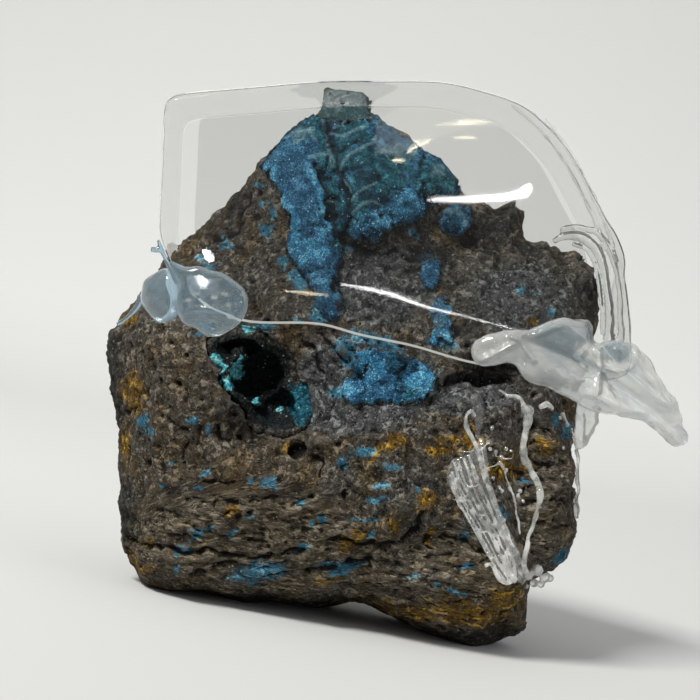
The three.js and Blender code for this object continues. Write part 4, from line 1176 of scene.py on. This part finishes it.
def closed_curve(points, count):
    """Evenly spaced points of a smooth closed curve through the given ones."""
    p = np.array(points, float)
    dense = []
    for i in range(len(p)):
        p0, p1, p2, p3 = (p[(i + k - 1) % len(p)] for k in range(4))
        for t in np.linspace(0, 1, CURVE_PARTS, endpoint=False):
            a = 2 * p1 + (p2 - p0) * t
            b = (2 * p0 - 5 * p1 + 4 * p2 - p3) * t**2 + (3 * p1 - p0 - 3 * p2 + p3) * t**3
            dense.append((a + b) / 2)
    dense = np.array(dense)
    step = np.linalg.norm(np.roll(dense, -1, axis=0) - dense, axis=1)
    along = np.concatenate([[0], np.cumsum(step)])
    wrapped = np.vstack([dense, dense[:1]])
    wanted = np.linspace(0, along[-1], count, endpoint=False)
    return np.stack([np.interp(wanted, along, wrapped[:, k]) for k in range(2)], axis=1)


seen_edge = closed_curve(GUARD_OUTLINE, GUARD_STEPS)
for _ in range(9):
    seen_edge = (np.roll(seen_edge, 1, axis=0) + 2 * seen_edge + np.roll(seen_edge, -1, axis=0)) / 4
guard_edge = seen_edge * (EYE_DISTANCE + GUARD_FRONT) / EYE_DISTANCE
ahead = np.roll(guard_edge, -2, axis=0) - np.roll(guard_edge, 2, axis=0)
ahead /= np.linalg.norm(ahead, axis=1)[:, None]
inward = np.stack([ahead[:, 1], -ahead[:, 0]], axis=1)


def wavy(x, z):
    """How far the sheet bows out of its plane: hardly at all, but enough to bend a reflection."""
    flat = np.stack([x, np.zeros_like(x), z], axis=1)
    return 0.035 * swell(flat, 17, 301) + 0.003 * swell(flat, 7, 302)


def guard_ring(inset, depth, share=0.0):
    """A closed ring of the guard: inset from its edge, at a depth, and drawn in to its middle."""
    ring = guard_edge + inward * inset
    ring = ring + (GUARD_MIDDLE - ring) * share
    y = np.full(len(ring), float(depth)) + wavy(ring[:, 0], ring[:, 1]) * (depth < GUARD_FRONT + 4)
    ring = np.stack([ring[:, 0], y, ring[:, 1]], axis=1)
    melted = smooth(0.1, 0.0, share) * smooth(20, 27, ring[:, 0]) * smooth(20, 12, ring[:, 2])
    sag = np.stack([swell(ring * (1, 0.5, 1), 4.2, 311 + k) for k in range(3)], axis=1) * (0.55, 0.7, 0.55)
    return ring + sag * melted[:, None]


BAND_SHARE = 0.13  # of the way to the face's middle, where the clear rim ends
FACE_SHARES = (0.06, 0.13, 0.27, 0.4, 0.53, 0.66, 0.79, 0.9)
BENDS = range(0, 91, 15)  # degrees round the bend
FOLD_TURN = 75  # how far round the bend the lower edge starts to look white, degrees
FOLD_END = 17.3  # mm right of the middle, where the glue's run covers the lower edge


def guard_side(inset):
    """The rings of one skin of the guard, from its back edge to the middle of its face."""
    face = GUARD_FRONT + inset
    radius = GUARD_BEND - inset
    walls = np.linspace(GUARD_BACK, face + radius, 7)[:-1]
    rings = [(guard_ring(inset, depth), "rim") for depth in walls]
    for turn in BENDS:
        a = math.radians(turn)
        kind = "fold" if turn >= FOLD_TURN else "rim"
        depth = face + radius * (1 - math.sin(a))
        rings.append((guard_ring(GUARD_BEND - radius * math.cos(a), depth), kind))
    for share in FACE_SHARES:
        rings.append((guard_ring(GUARD_BEND, face, share), "face" if share >= BAND_SHARE else "rim"))
    return rings


def guard_mesh():
    outer, inner = guard_side(0), guard_side(GUARD_WALL)
    rings = outer[::-1] + inner
    count = GUARD_STEPS
    corners = [ring for ring, _ in rings]
    start = guard_ring(GUARD_BEND, GUARD_FRONT, 1.0)[:1]
    stop = guard_ring(GUARD_BEND, GUARD_FRONT + GUARD_WALL, 1.0)[:1]
    points = np.vstack([start, *corners, stop])
    faces, kinds = [], []
    for i in range(count):
        j = (i + 1) % count
        low = inward[i, 1] > 0.75 and seen_edge[i, 0] < FOLD_END
        faces.append((0, 1 + i, 1 + j))
        kinds.append("face")
        for k in range(len(rings) - 1):
            a, b = 1 + k * count, 1 + (k + 1) * count
            faces.append((a + i, b + i, b + j, a + j))
            pair = {rings[k][1], rings[k + 1][1]}
            if k == len(outer) - 1:
                kinds.append("cut")
            elif pair == {"fold"} and low and k < len(outer) - 1:
                kinds.append("fold")
            else:
                kinds.append("face" if pair == {"face"} else "rim")
        last = 1 + (len(rings) - 1) * count
        faces.append((last + i, len(points) - 1, last + j))
        kinds.append("face")
    mesh = mesh_of("clear_guard", turned(points, from_display) * MM, faces)
    for material in GUARD_MATERIALS.values():
        mesh.materials.append(material)
    mesh.polygons.foreach_set("material_index", [list(GUARD_MATERIALS).index(kind) for kind in kinds])
    mesh.update()
    return mesh


rock_node = {"operation": "DIFFERENCE", "solver": "EXACT", "object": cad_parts["matrix"]}
guard = modified(guard_mesh(), ("BOOLEAN", rock_node))
print("guard materials:", [material.name for material in guard.materials])
let_light_through(add_piece("clear_guard", guard, [], "clear_cover"))

# %% [markdown]
# ## What the guard mirrors
#
# The sheet is nearly flat, so a bright shape in the room shows in it like in a mirror. Each bright streak
# of the picture is drawn as it shows, then carried to its mirror place far in front of the sheet, where
# it is a small glowing card. The cards are lights and no part of the specimen.

# %% Cards that the guard mirrors
CARD_DEPTH = -420
WHITE, WARM, HAZE = (1, 1, 1), (1, 0.86, 0.62), (0.93, 0.90, 0.80)
REFLECTIONS = [  # colour, strength, and (x, y, half height) along each streak, in picture pixels
    (WHITE, 34, [(430, 198, 0.3), (442, 197, 1.6), (470, 195.5, 2.8), (500, 194, 3), (512, 192.5, 3.6),
        (520, 190, 5.6), (525, 188, 5), (527, 187, 2)]),
    (WHITE, 34, [(336, 286, 0.2), (350, 288, 0.6), (368, 291.5, 1.1), (388, 296, 1.4), (408, 302, 1.2),
        (430, 308.5, 0.7), (470, 320, 0.4), (508, 330.5, 0.3)]),
    (WARM, 24, [(437, 129, 0.3), (460, 127, 2), (480, 124.5, 2.6), (498, 122, 0.5)]),
    (WARM, 20, [(412, 157, 1), (420, 149, 4), (436, 143, 1)]),
    (WARM, 22, [(394, 165, 0.5), (402, 165, 1.8), (410, 165, 0.5)]),
    (WARM, 14, [(456, 141.5, 0.3), (466, 141, 1.2), (474, 141, 0.3)]),
    (WARM, 16, [(290, 294, 0.3), (306, 295.5, 1.2), (325, 296, 0.3)]),
    (WHITE, 40, [(201, 250, 2), (205, 251, 5), (211, 254, 6), (216, 257, 2)]),
    (WHITE, 40, [(199, 276, 6), (201, 276, 10), (206, 277, 10), (208, 277, 6)]),
    (WARM, 30, [(184, 313, 0.3), (200, 312, 0.9), (218, 313.5, 1.2), (231, 316.5, 1.6), (233, 316, 0.5)]),
    (HAZE, 1.1, [(374, 140, 18), (400, 134, 26), (430, 126, 20), (470, 118, 13), (500, 122, 6)]),
]


def mirrored(x, y):
    """Where a light has to be for the flat sheet to show it at a picture place, in the display frame."""
    k = (EYE_DISTANCE + GUARD_FRONT) / EYE_DISTANCE / PIXELS_PER_MM
    hit = np.array([(x - PICTURE_MIDDLE) * k, GUARD_FRONT, (PICTURE_MIDDLE - y) * k])
    ray = hit - np.array([0, -EYE_DISTANCE, 0])
    ray[1] = -ray[1]
    return hit + ray * (CARD_DEPTH - GUARD_FRONT) / ray[1]


def glowing(name, colour, strength, streak):
    """A glowing strip that shows in the guard as the streak."""
    corners = np.array([mirrored(x, y + side * half) for x, y, half in streak for side in (-1, 1)])
    faces = [(2 * i, 2 * i + 1, 2 * i + 3, 2 * i + 2) for i in range(len(streak) - 1)]
    mesh = mesh_of(name, turned(corners, from_display) * MM, faces)
    card = in_scene(name, mesh)
    material, w, _ = new_material(name)
    material.node_tree.nodes.clear()
    light = w.add("ShaderNodeEmission", {"Color": colour, "Strength": strength})
    w.add("ShaderNodeOutputMaterial", {"Surface": light.outputs[0]})
    mesh.materials.append(material)
    card.visible_diffuse = False
    card.visible_shadow = False
    card.visible_camera = False


for i, (colour, strength, streak) in enumerate(REFLECTIONS):
    glowing(f"mirror_card_{i + 1}", colour, strength, streak)
print("cards:", len(REFLECTIONS))

# %% [markdown]
# ## The hot-melt glue
#
# The guard is held by blobs of hot-melt glue. Set glue is milky: it lets light through, but scatters some
# of it, so it is bluish-white where it is thick and nearly clear in thin threads. The threads and their
# drops are made whiter than that: partly milky glue, partly painted highlights for their many small glints.

# %% Glue materials
def glue_material(name, clear, milky, roughness, transmission):
    """Glue that is clear where the stored number milk is 0 and milky where it is 1."""
    values = {"Roughness": roughness, "IOR": 1.3, "Transmission Weight": transmission}
    material, w, surface = new_material(name, {**values, "Coat Weight": 1.0, "Coat Roughness": 0.03})
    w.put(surface.inputs["Base Color"], w.mix(w.stored("milk"), clear, milky))
    return material


disc_glue = glue_material("disc_glue", (0.40, 0.54, 0.63), (0.84, 0.91, 0.94), 0.08, 0.88)
run_glue = glue_material("run_glue", (0.38, 0.45, 0.49), (0.67, 0.68, 0.66), 0.14, 0.7)
seam_glue = glue_material("seam_glue", (0.86, 0.87, 0.86), (0.95, 0.95, 0.95), 0.05, 0.95)
# The threads' milky white partly paints in their many small highlights.
thread_glue = glue_material("thread_glue", (0.50, 0.51, 0.49), (0.93, 0.93, 0.91), 0.05, 0.7)
film_glue = glue_material("film_glue", (0.66, 0.68, 0.67), (0.86, 0.86, 0.85), 0.08, 0.95)

# %% Glue's outlines, folds and strands, in picture pixels
DISC = [
    (169, 262), (186, 267), (199, 266), (210, 270), (223, 273), (235, 281), (244, 289), (248, 301),
    (246, 313), (239, 324), (229, 331), (218, 336), (206, 336), (196, 329), (184, 324), (178, 314),
    (177, 300), (178, 284),
]
DOME = [
    (141, 290), (144, 281), (153, 274), (165, 269), (174, 273), (179, 286), (180, 304), (177, 317),
    (168, 322), (156, 321), (147, 312), (141, 302),
]
DISC_FOLDS = [([(185, 316), (205, 314), (230, 317)], 2, 0.25)]  # like RUN_FOLDS
DISC_DEPTH, DOME_DEPTH = -19.7, -14.6  # mm
DOME_LEFT, DOME_RIGHT, DISC_LEFT = 141, 178, 180
LEFT_STRANDS = [  # (x, y, half thickness in mm)
    [(158, 240, 0.2), (161, 249, 0.28), (168, 264, 0.26), (178, 284, 0.3)],
    [(151, 249, 0.36), (156, 250, 0.34), (162, 250, 0.3)],
    [(143, 296, 0.5), (136, 309, 0.34), (127, 318, 0.3), (117, 325, 0.3)],
]
STRAND_ON_GUARD = 145  # left of this they lie on the rock
# Milky spots where bubbles sit in the disc. Their white is a painted highlight for the bubbles' glints.
BUBBLE_GLINTS = [
    (197, 294, 4, 2, 10), (189, 300, 3, 2, 0), (214, 297, 4, 2, 0), (225, 294, 4, 2, -10),
    (203, 306, 3, 1.6, 0), (229, 305, 3, 2, 20),
]
RUN = [
    (471, 350), (474, 342), (482, 337), (496, 332), (508, 330), (517, 329), (528, 330), (538, 326),
    (548, 321), (562, 318), (578, 318), (588, 320), (593, 329), (595, 342), (603, 342), (614, 340),
    (628, 341), (637, 344), (647, 358), (657, 375), (667, 390), (677, 402), (680, 414), (682, 425),
    (688, 433), (686, 443), (677, 447), (668, 443), (660, 434), (650, 425), (636, 419), (618, 415),
    (600, 413), (588, 410), (574, 401), (560, 394), (548, 387), (535, 384), (527, 381), (521, 374),
    (516, 366), (509, 363), (496, 365), (483, 366), (474, 361),
]
TAB = [
    (578, 398), (588, 402), (598, 403), (598, 418), (592, 434), (584, 446), (577, 447), (575, 432),
    (576, 414),
]
RUN_X = (470, 510, 560, 600, 640, 688)
RUN_DEPTHS = (-19.8, -19.6, -18.6, -17.0, -15.6, -13.6)  # mm, at RUN_X
RUN_HALVES = (0.9, 1.2, 1.7, 2.0, 1.5, 1.0)  # half the thickness in mm, at RUN_X
RUN_FOLDED = (520, 600)  # finer folds begin between these
TAB_FOLDS = [([(583, 402), (582, 440)], 2.5, 0.4)]  # like RUN_FOLDS
TAB_DEPTH, TAB_TOP = -15.5, 400
RUN_FOLDS = [  # line, half width in pixels, height in mm
    ([(481, 361), (496, 354), (514, 344)], 2.6, 1.0), ([(512, 337), (521, 342), (534, 361)], 2.4, 1.0),
    ([(527, 342), (548, 349), (572, 360), (590, 370)], 6, -1.0), ([(540, 333), (556, 327)], 2.5, 0.5),
    ([(524, 374), (552, 373), (586, 384), (612, 400)], 9, 0.5),
    ([(601, 345), (616, 341), (630, 347)], 2.5, 0.6),
    ([(600, 366), (616, 372), (632, 367), (636, 352)], 2.5, 0.6), ([(616, 350), (620, 355)], 4, 0.6),
    ([(634, 350), (648, 374), (662, 396), (671, 410)], 3, 0.7),
    ([(626, 372), (645, 388), (660, 400), (676, 406)], 3, 0.7),
    ([(610, 378), (628, 393), (650, 409), (668, 425)], 5, -0.6),
    ([(590, 394), (612, 405), (642, 414)], 4, 0.4), ([(656, 420), (668, 430), (680, 438)], 3, 0.5),
    ([(596, 350), (600, 372), (596, 392)], 3, 0.4),
]
RUN_CLEAR = [(566, 336, 36, 16, 0), (560, 350, 40, 8, -22), (616, 352, 17, 14, 0)]
SHEET = [
    (446, 477), (452, 460), (465, 455), (475, 446), (481, 437), (486, 445), (488, 458), (489, 472),
    (495, 492), (503, 517), (514, 538), (522, 560), (528, 574), (524, 585), (516, 581), (508, 584),
    (500, 581), (494, 568), (489, 556), (482, 543), (475, 529), (465, 517), (457, 501), (450, 489),
]
TONGUE = [  # a narrow piece of the sheet that runs up from it
    (470, 398), (475, 392), (481, 395), (484, 404), (484, 418), (481, 432), (478, 440), (475, 434),
    (474, 416),
]
FLOW = [  # the lines along which the sheet of threads runs down
    [(449, 478), (457, 500), (469, 521), (482, 543), (495, 567), (505, 582)],
    [(454, 462), (462, 484), (474, 506), (488, 531), (502, 558), (511, 580)],
    [(466, 457), (473, 480), (484, 504), (496, 530), (509, 558), (516, 579)],
    [(478, 446), (483, 470), (492, 496), (503, 524), (514, 550), (522, 574)],
    [(484, 444), (487, 468), (495, 494), (508, 528), (518, 554), (525, 576)],
]
STRANDS = [  # (x, y, half thickness in mm)
    [(498, 391, 0.22), (508, 395, 0.26), (518, 397, 0.22), (524, 404, 0.3), (528, 412, 0.8),
        (528, 420, 0.6), (524, 432, 0.52), (523, 446, 0.5), (525, 460, 0.5), (531, 472, 0.46),
        (538, 483, 0.42), (541, 494, 0.36), (537, 509, 0.34), (533, 525, 0.3), (529, 541, 0.27),
        (525, 556, 0.28), (523, 568, 0.34), (528, 575, 0.5)],
    [(470, 434, 0.3), (465, 424, 0.3), (465, 415, 0.24), (471, 410, 0.26), (475, 416, 0.2)],
    [(466, 424, 0.22), (472, 436, 0.26), (478, 448, 0.3), (483, 466, 0.26)],
    [(485, 565, 0.34), (491, 563, 0.26), (495, 570, 0.26), (500, 580, 0.34), (508, 584, 0.34),
        (515, 580, 0.4)],
    [(499, 461, 0.2), (504, 470, 0.16), (507, 479, 0.2), (511, 491, 0.16), (516, 507, 0.2),
        (520, 534, 0.12)],
    [(540, 408, 0.3), (547, 403, 0.36), (553, 409, 0.24)],
    [(576, 450, 0.3), (578, 462, 0.2), (577, 476, 0.3), (579, 490, 0.2), (575, 501, 0.45),
        (577, 518, 0.3)],
    [(562, 414, 0.3), (568, 424, 0.25), (573, 436, 0.3), (577, 448, 0.25)],
]
HAIRS_ACROSS, HAIRS_DOWN = (452, 500), (445, 560)  # where short hairs begin
WEB_FOOT = (555, 570)  # the web turns milky from the first height to the second
# The drops' white partly paints the small highlights on the glue's bumps.
DROPS = [  # (x, y, radius in mm)
    (492, 428, 0.34), (488, 442, 0.32), (490, 449, 0.3), (496, 452, 0.3), (506, 449, 0.3),
    (511, 451, 0.24), (501, 457, 0.32), (487, 469, 0.34), (493, 478, 0.28), (506, 470, 0.32),
    (499, 487, 0.26), (502, 491, 0.3), (510, 489, 0.3), (520, 491, 0.34), (518, 496, 0.3),
    (523, 501, 0.26), (460, 468, 0.36), (474, 474, 0.34), (459, 480, 0.26), (528, 411, 0.85),
    (537, 570, 0.85), (545, 577, 0.8), (534, 583, 0.6), (541, 584, 0.55), (550, 578, 0.55),
    (528, 575, 0.7), (513, 579, 0.6), (526, 586, 0.4), (560, 418, 0.3), (566, 425, 0.34), (571, 431, 0.3),
    (563, 448, 0.3), (562, 476, 0.25), (575, 501, 0.5), (577, 471, 0.3), (504, 520, 0.3),
]
SEAM_DEPTH = -12.6
SEAM = [
    [(553, 241, 0.35), (566, 235, 0.55), (582, 236, 0.65), (596, 247, 0.7), (604, 266, 0.6),
        (608, 292, 0.55), (610, 320, 0.6), (609, 345, 0.7), (612, 360, 0.6)],
    [(560, 230, 0.3), (578, 226, 0.4), (598, 232, 0.45), (611, 250, 0.5), (618, 276, 0.4),
        (621, 305, 0.45), (622, 340, 0.5)],
    [(512, 104, 0.18), (540, 128, 0.2), (564, 160, 0.22), (584, 196, 0.24), (600, 232, 0.3),
        (606, 250, 0.4)],
    [(545, 118, 0.18), (570, 150, 0.2), (590, 188, 0.22), (608, 228, 0.26), (618, 262, 0.3)],
    [(572, 244, 0.3), (586, 248, 0.35), (595, 262, 0.3), (599, 284, 0.3), (602, 310, 0.25),
        (603, 335, 0.35)],
    [(603, 340, 0.35), (612, 335, 0.35), (621, 340, 0.35), (624, 350, 0.35), (618, 359, 0.35),
        (608, 359, 0.35), (602, 350, 0.35)],
]

# %% Growing a glue mesh
SIDES = 8  # of a strand
OUTLINE_STEPS = 200


def many_placed(x, y, depth):
    """Like placed, for whole rows of places."""
    k = (EYE_DISTANCE + depth) / EYE_DISTANCE / PIXELS_PER_MM
    seen = np.stack([(x - PICTURE_MIDDLE) * k, depth, (PICTURE_MIDDLE - y) * k], axis=1)
    return turned(seen, from_display)


def to_outline(x, y, outline):
    """How far inside a closed outline each place is, in pixels, and the nearest place on the outline."""
    inside = np.zeros(len(x), bool)
    best, near_x, near_y = np.full(len(x), FAR), x.copy(), y.copy()
    for (x0, y0), (x1, y1) in zip(outline, np.roll(outline, -1, axis=0)):
        if y0 != y1:
            inside ^= ((y0 > y) != (y1 > y)) & (x < x0 + (x1 - x0) * (y - y0) / (y1 - y0))
        dx, dy = x1 - x0, y1 - y0
        t = np.clip(((x - x0) * dx + (y - y0) * dy) / (dx * dx + dy * dy + 1e-9), 0, 1)
        away = np.hypot(x - x0 - t * dx, y - y0 - t * dy)
        nearer = away < best
        best[nearer] = away[nearer]
        near_x[nearer] = (x0 + t * dx)[nearer]
        near_y[nearer] = (y0 + t * dy)[nearer]
    return np.where(inside, best, -best), near_x, near_y


def cushion(outline, depth_at, thick, rim, folds, growing, step=1.3):
    """Adds a cushion with that outline in the picture. thick is half its thickness in mm, and its edge is
    rounded over rim pixels. Folds are (line, half width in pixels, height in mm)."""
    corners, faces = growing
    curve = closed_curve(outline, OUTLINE_STEPS)
    xs = np.arange(curve[:, 0].min() - step, curve[:, 0].max() + 2 * step, step)
    ys = np.arange(curve[:, 1].min() - step, curve[:, 1].max() + 2 * step, step)
    x, y = (grid.ravel() for grid in np.meshgrid(xs, ys))
    field, near_x, near_y = to_outline(x, y, curve)
    outside = field <= 0
    x, y = np.where(outside, near_x, x), np.where(outside, near_y, y)
    field = np.maximum(field, 0)
    round_off = np.sqrt(1 - (1 - np.clip(field / rim, 0, 1)) ** 2)
    raised = np.zeros(len(x))
    for line, half_width, height in folds:
        raised += height * np.exp(-((from_line(x, y, line) / half_width) ** 2))
    half = thick(x) if callable(thick) else thick
    depth = depth_at(x, y)
    front = many_placed(x, y, depth - (half + raised) * round_off)
    back = many_placed(x, y, depth + half * round_off)
    base = len(corners)
    number = base + np.arange(len(x))
    behind = np.where(outside, number, number + len(x))
    corners.extend(front)
    corners.extend(back)
    wide = len(xs)
    for row in range(len(ys) - 1):
        for column in range(wide - 1):
            a = row * wide + column
            cell = (a, a + 1, a + wide + 1, a + wide)
            if not all(outside[i] for i in cell):
                faces.append(tuple(int(number[i]) for i in cell))
                faces.append(tuple(int(behind[i]) for i in reversed(cell)))


def tube(path, radii, growing):
    """Adds a closed round tube along a path."""
    corners, faces = growing
    base = len(corners)
    ahead = np.gradient(path, axis=0)
    ahead /= np.linalg.norm(ahead, axis=1)[:, None]
    side = np.cross(ahead, EYE - path)
    side /= np.linalg.norm(side, axis=1)[:, None]
    up = np.cross(side, ahead)
    last = len(path) - 1
    for i, (middle, radius) in enumerate(zip(path, radii)):
        for k in range(SIDES):
            a = 2 * math.pi * k / SIDES
            corners.append(middle + radius * (side[i] * math.cos(a) + up[i] * math.sin(a)))
    for i in range(last):
        for k in range(SIDES):
            n = (k + 1) % SIDES
            a, b = base + i * SIDES, base + (i + 1) * SIDES
            faces.append((a + k, b + k, b + n, a + n))
    faces.append(tuple(base + k for k in range(SIDES)))
    faces.append(tuple(base + last * SIDES + k for k in reversed(range(SIDES))))


def drop(middle, radius, growing):
    """Adds a round drop. Its axis leans a little, because a tube can't point straight at the eye."""
    angles = np.linspace(0.15, math.pi - 0.15, 7)
    path = middle - np.outer(np.cos(angles), AWAY) * radius
    tube(path + np.outer(np.linspace(0, 1e-3, 7), RIGHT), radius * np.sin(angles), growing)


def eased(places, parts=5):
    """Rows of numbers along a line, made finer and smoother."""
    steps = np.linspace(0, len(places) - 1, (len(places) - 1) * parts + 1)
    line = np.stack([np.interp(steps, np.arange(len(places)), column) for column in places.T], axis=1)
    for _ in range(4):
        line[1:-1] = (line[:-2] + 2 * line[1:-1] + line[2:]) / 4
    return line


def fused(growing, voxel, rounds):
    """One skin round overlapping shapes, with soft joints."""
    corners, faces = growing
    return even_skin(mesh_of("fused", np.array(corners) * MM, faces), voxel, rounds)


def joined(*meshes):
    """One mesh of several, where the faces of each read the material slot of its place in the row."""
    bm = bmesh.new()
    for slot, mesh in enumerate(meshes):
        before = len(bm.faces)
        bm.from_mesh(mesh)
        bm.faces.ensure_lookup_table()
        for face in bm.faces[before:]:
            face.material_index = slot
    whole = bpy.data.meshes.new("whole")
    bm.to_mesh(whole)
    bm.free()
    return whole


BESIDE_ROCK = -5.0  # the depth in mm of places that have no rock behind them


def over_rock(x, y, lift):
    """The depth in mm at which a picture place lies lift mm in front of the rock."""
    start = Vector(EYE)
    ray = (Vector(placed(x, y, 0)) - start).normalized()
    hit = rock_tree.ray_cast(start, ray)[0]
    if hit is None:
        return BESIDE_ROCK
    return float(turned(np.array([hit]), to_display)[0, 1]) - lift


# %% Glue at the guard's corners
def strand_places(strand, depth_at):
    """A strand's (place and half thickness) rows in mm, made finer. depth_at gives the depth of a place."""
    return eased(np.array([[*placed(x, y, depth_at(x, y, half)), half] for x, y, half in strand]))


growing = [], []
cushion(DISC, lambda x, y: np.full(len(x), DISC_DEPTH), 0.75, 6, DISC_FOLDS, growing)
cushion(DOME, lambda x, y: DOME_DEPTH - 0.05 * (x - DOME_LEFT), 2.6, 18, [], growing)
for strand in LEFT_STRANDS:
    places = strand_places(strand, lambda x, y, half: -18.5 if x > STRAND_ON_GUARD else -12)
    tube(places[:, :3], places[:, 3], growing)
disc = fused(growing, 0.17, 5)
p = points_of(disc)
x, y, _ = picture_of(p)
raised = 0.03 + 0.1 * layered(p, 3.0, 2, seed=201) * (x < DOME_RIGHT)
set_points(disc, p + normals_of(disc) * raised[:, None])
rim = smooth(5, 0, to_outline(x, y, np.array(DISC))[0]) * (x > DISC_LEFT)
# Painted highlight: the bubbles' glints are painted milky white, beside the rim's milkiness.
bubble_glints = smooth(-0.3, 0.3, marked(x, y, BUBBLE_GLINTS))
paint(disc, "milk", np.clip(np.maximum(rim, bubble_glints), 0, 1))
let_light_through(add_piece("glue_disc_left", disc, [disc_glue], "glue_bead_left"))

growing = [], []
cushion(
    RUN,
    lambda x, y: np.interp(x, RUN_X, RUN_DEPTHS),
    lambda x: np.interp(x, RUN_X, RUN_HALVES),
    10,
    RUN_FOLDS,
    growing,
)
cushion(TAB, lambda x, y: TAB_DEPTH + 0.03 * (y - TAB_TOP), 0.6, 5, TAB_FOLDS, growing)
run = fused(growing, 0.16, 2)
p = points_of(run)
x, y, _ = picture_of(p)
along = p @ (RIGHT * 0.8 - UP * 0.6)
across = p @ (RIGHT * 0.6 + UP * 0.8)
drawn_out = np.stack([along * 0.35, across * 1.3, p @ AWAY], axis=1)
folds = layered(drawn_out, 2.2, 2, seed=203)
raised = 0.02 + 0.3 * folds * smooth(*RUN_FOLDED, x) + 0.1 * layered(p, 1.6, 2, seed=204)
set_points(run, p + normals_of(run) * raised[:, None])
clear_part = smooth(0.0, 0.6, marked(x, y, RUN_CLEAR))
paint(run, "milk", np.clip(0.85 - 0.9 * clear_part + 0.5 * folds + 0.3 * swell(p, 3.0, 205), 0, 1))
let_light_through(add_piece("glue_run_right", run, [run_glue], "glue_bead_right"))

growing = [], []
for strand in SEAM:
    places = strand_places(strand, lambda x, y, half: SEAM_DEPTH)
    tube(places[:, :3], places[:, 3], growing)
seam = fused(growing, 0.16, 4)
p = points_of(seam)
set_points(seam, p + normals_of(seam) * (0.12 * layered(p, 1.4, 2, seed=206))[:, None])
let_light_through(add_piece("glue_seam", seam, [seam_glue], "glue_seam_right"))

# %% Threads of glue
rng = random.Random(11)
hairs = []
for _ in range(18):  # fine hairs that follow the sheet
    lane = rng.uniform(0, len(FLOW) - 1.01)
    first, share = FLOW[int(lane)], lane % 1
    second = FLOW[int(lane) + 1]
    thin = rng.uniform(0.07, 0.15)
    hairs.append([
        (x0 + (x1 - x0) * share + rng.uniform(-1.5, 1.5), y0 + (y1 - y0) * share + rng.uniform(-3, 3), thin)
        for (x0, y0), (x1, y1) in zip(first, second)
    ])
for _ in range(10):  # short hairs across it
    x, y = rng.uniform(*HAIRS_ACROSS), rng.uniform(*HAIRS_DOWN)
    middle = (x + 7, y + rng.uniform(-5, 5), 0.1)
    hairs.append([(x, y, 0.12), middle, (x + 15, y + rng.uniform(-8, 8), 0.14)])

growing = [], []
sheet_folds = [(line, 1.5, 0.22) for line in FLOW]
rest_on_rock = np.vectorize(lambda x, y: over_rock(x, y, 0.25))
cushion(SHEET, rest_on_rock, 0.2, 3, sheet_folds, growing, step=1.6)
cushion(TONGUE, rest_on_rock, 0.35, 4, [], growing, step=1.6)
film = fused(growing, 0.12, 2)
growing = [], []
for number, strand in enumerate(STRANDS + hairs):
    line = strand_places(strand, lambda x, y, half: over_rock(x, y, 0.3 + half))
    shake = [swell(line[:, :3], 1.5, 400 + number * 3 + k) for k in range(3)]
    shaken = line[:, :3] + 0.2 * np.stack(shake, axis=1)
    beaded = line[:, 3] * (0.95 + 0.5 * swell(shaken, 1.6, 440 + number))
    tube(shaken, np.maximum(beaded, 0.09), growing)
for x, y, radius in DROPS:
    drop(placed(x, y, over_rock(x, y, radius * 0.8)), radius, growing)
web = joined(fused(growing, 0.1, 2), film)
p = points_of(web)
_, y, _ = picture_of(p)
paint(web, "milk", np.clip(0.45 + 1.6 * layered(p, 1.0, 2, seed=207) + smooth(*WEB_FOOT, y), 0, 1))
let_light_through(add_piece("glue_web", web, [thread_glue, film_glue], "glue_threads"))
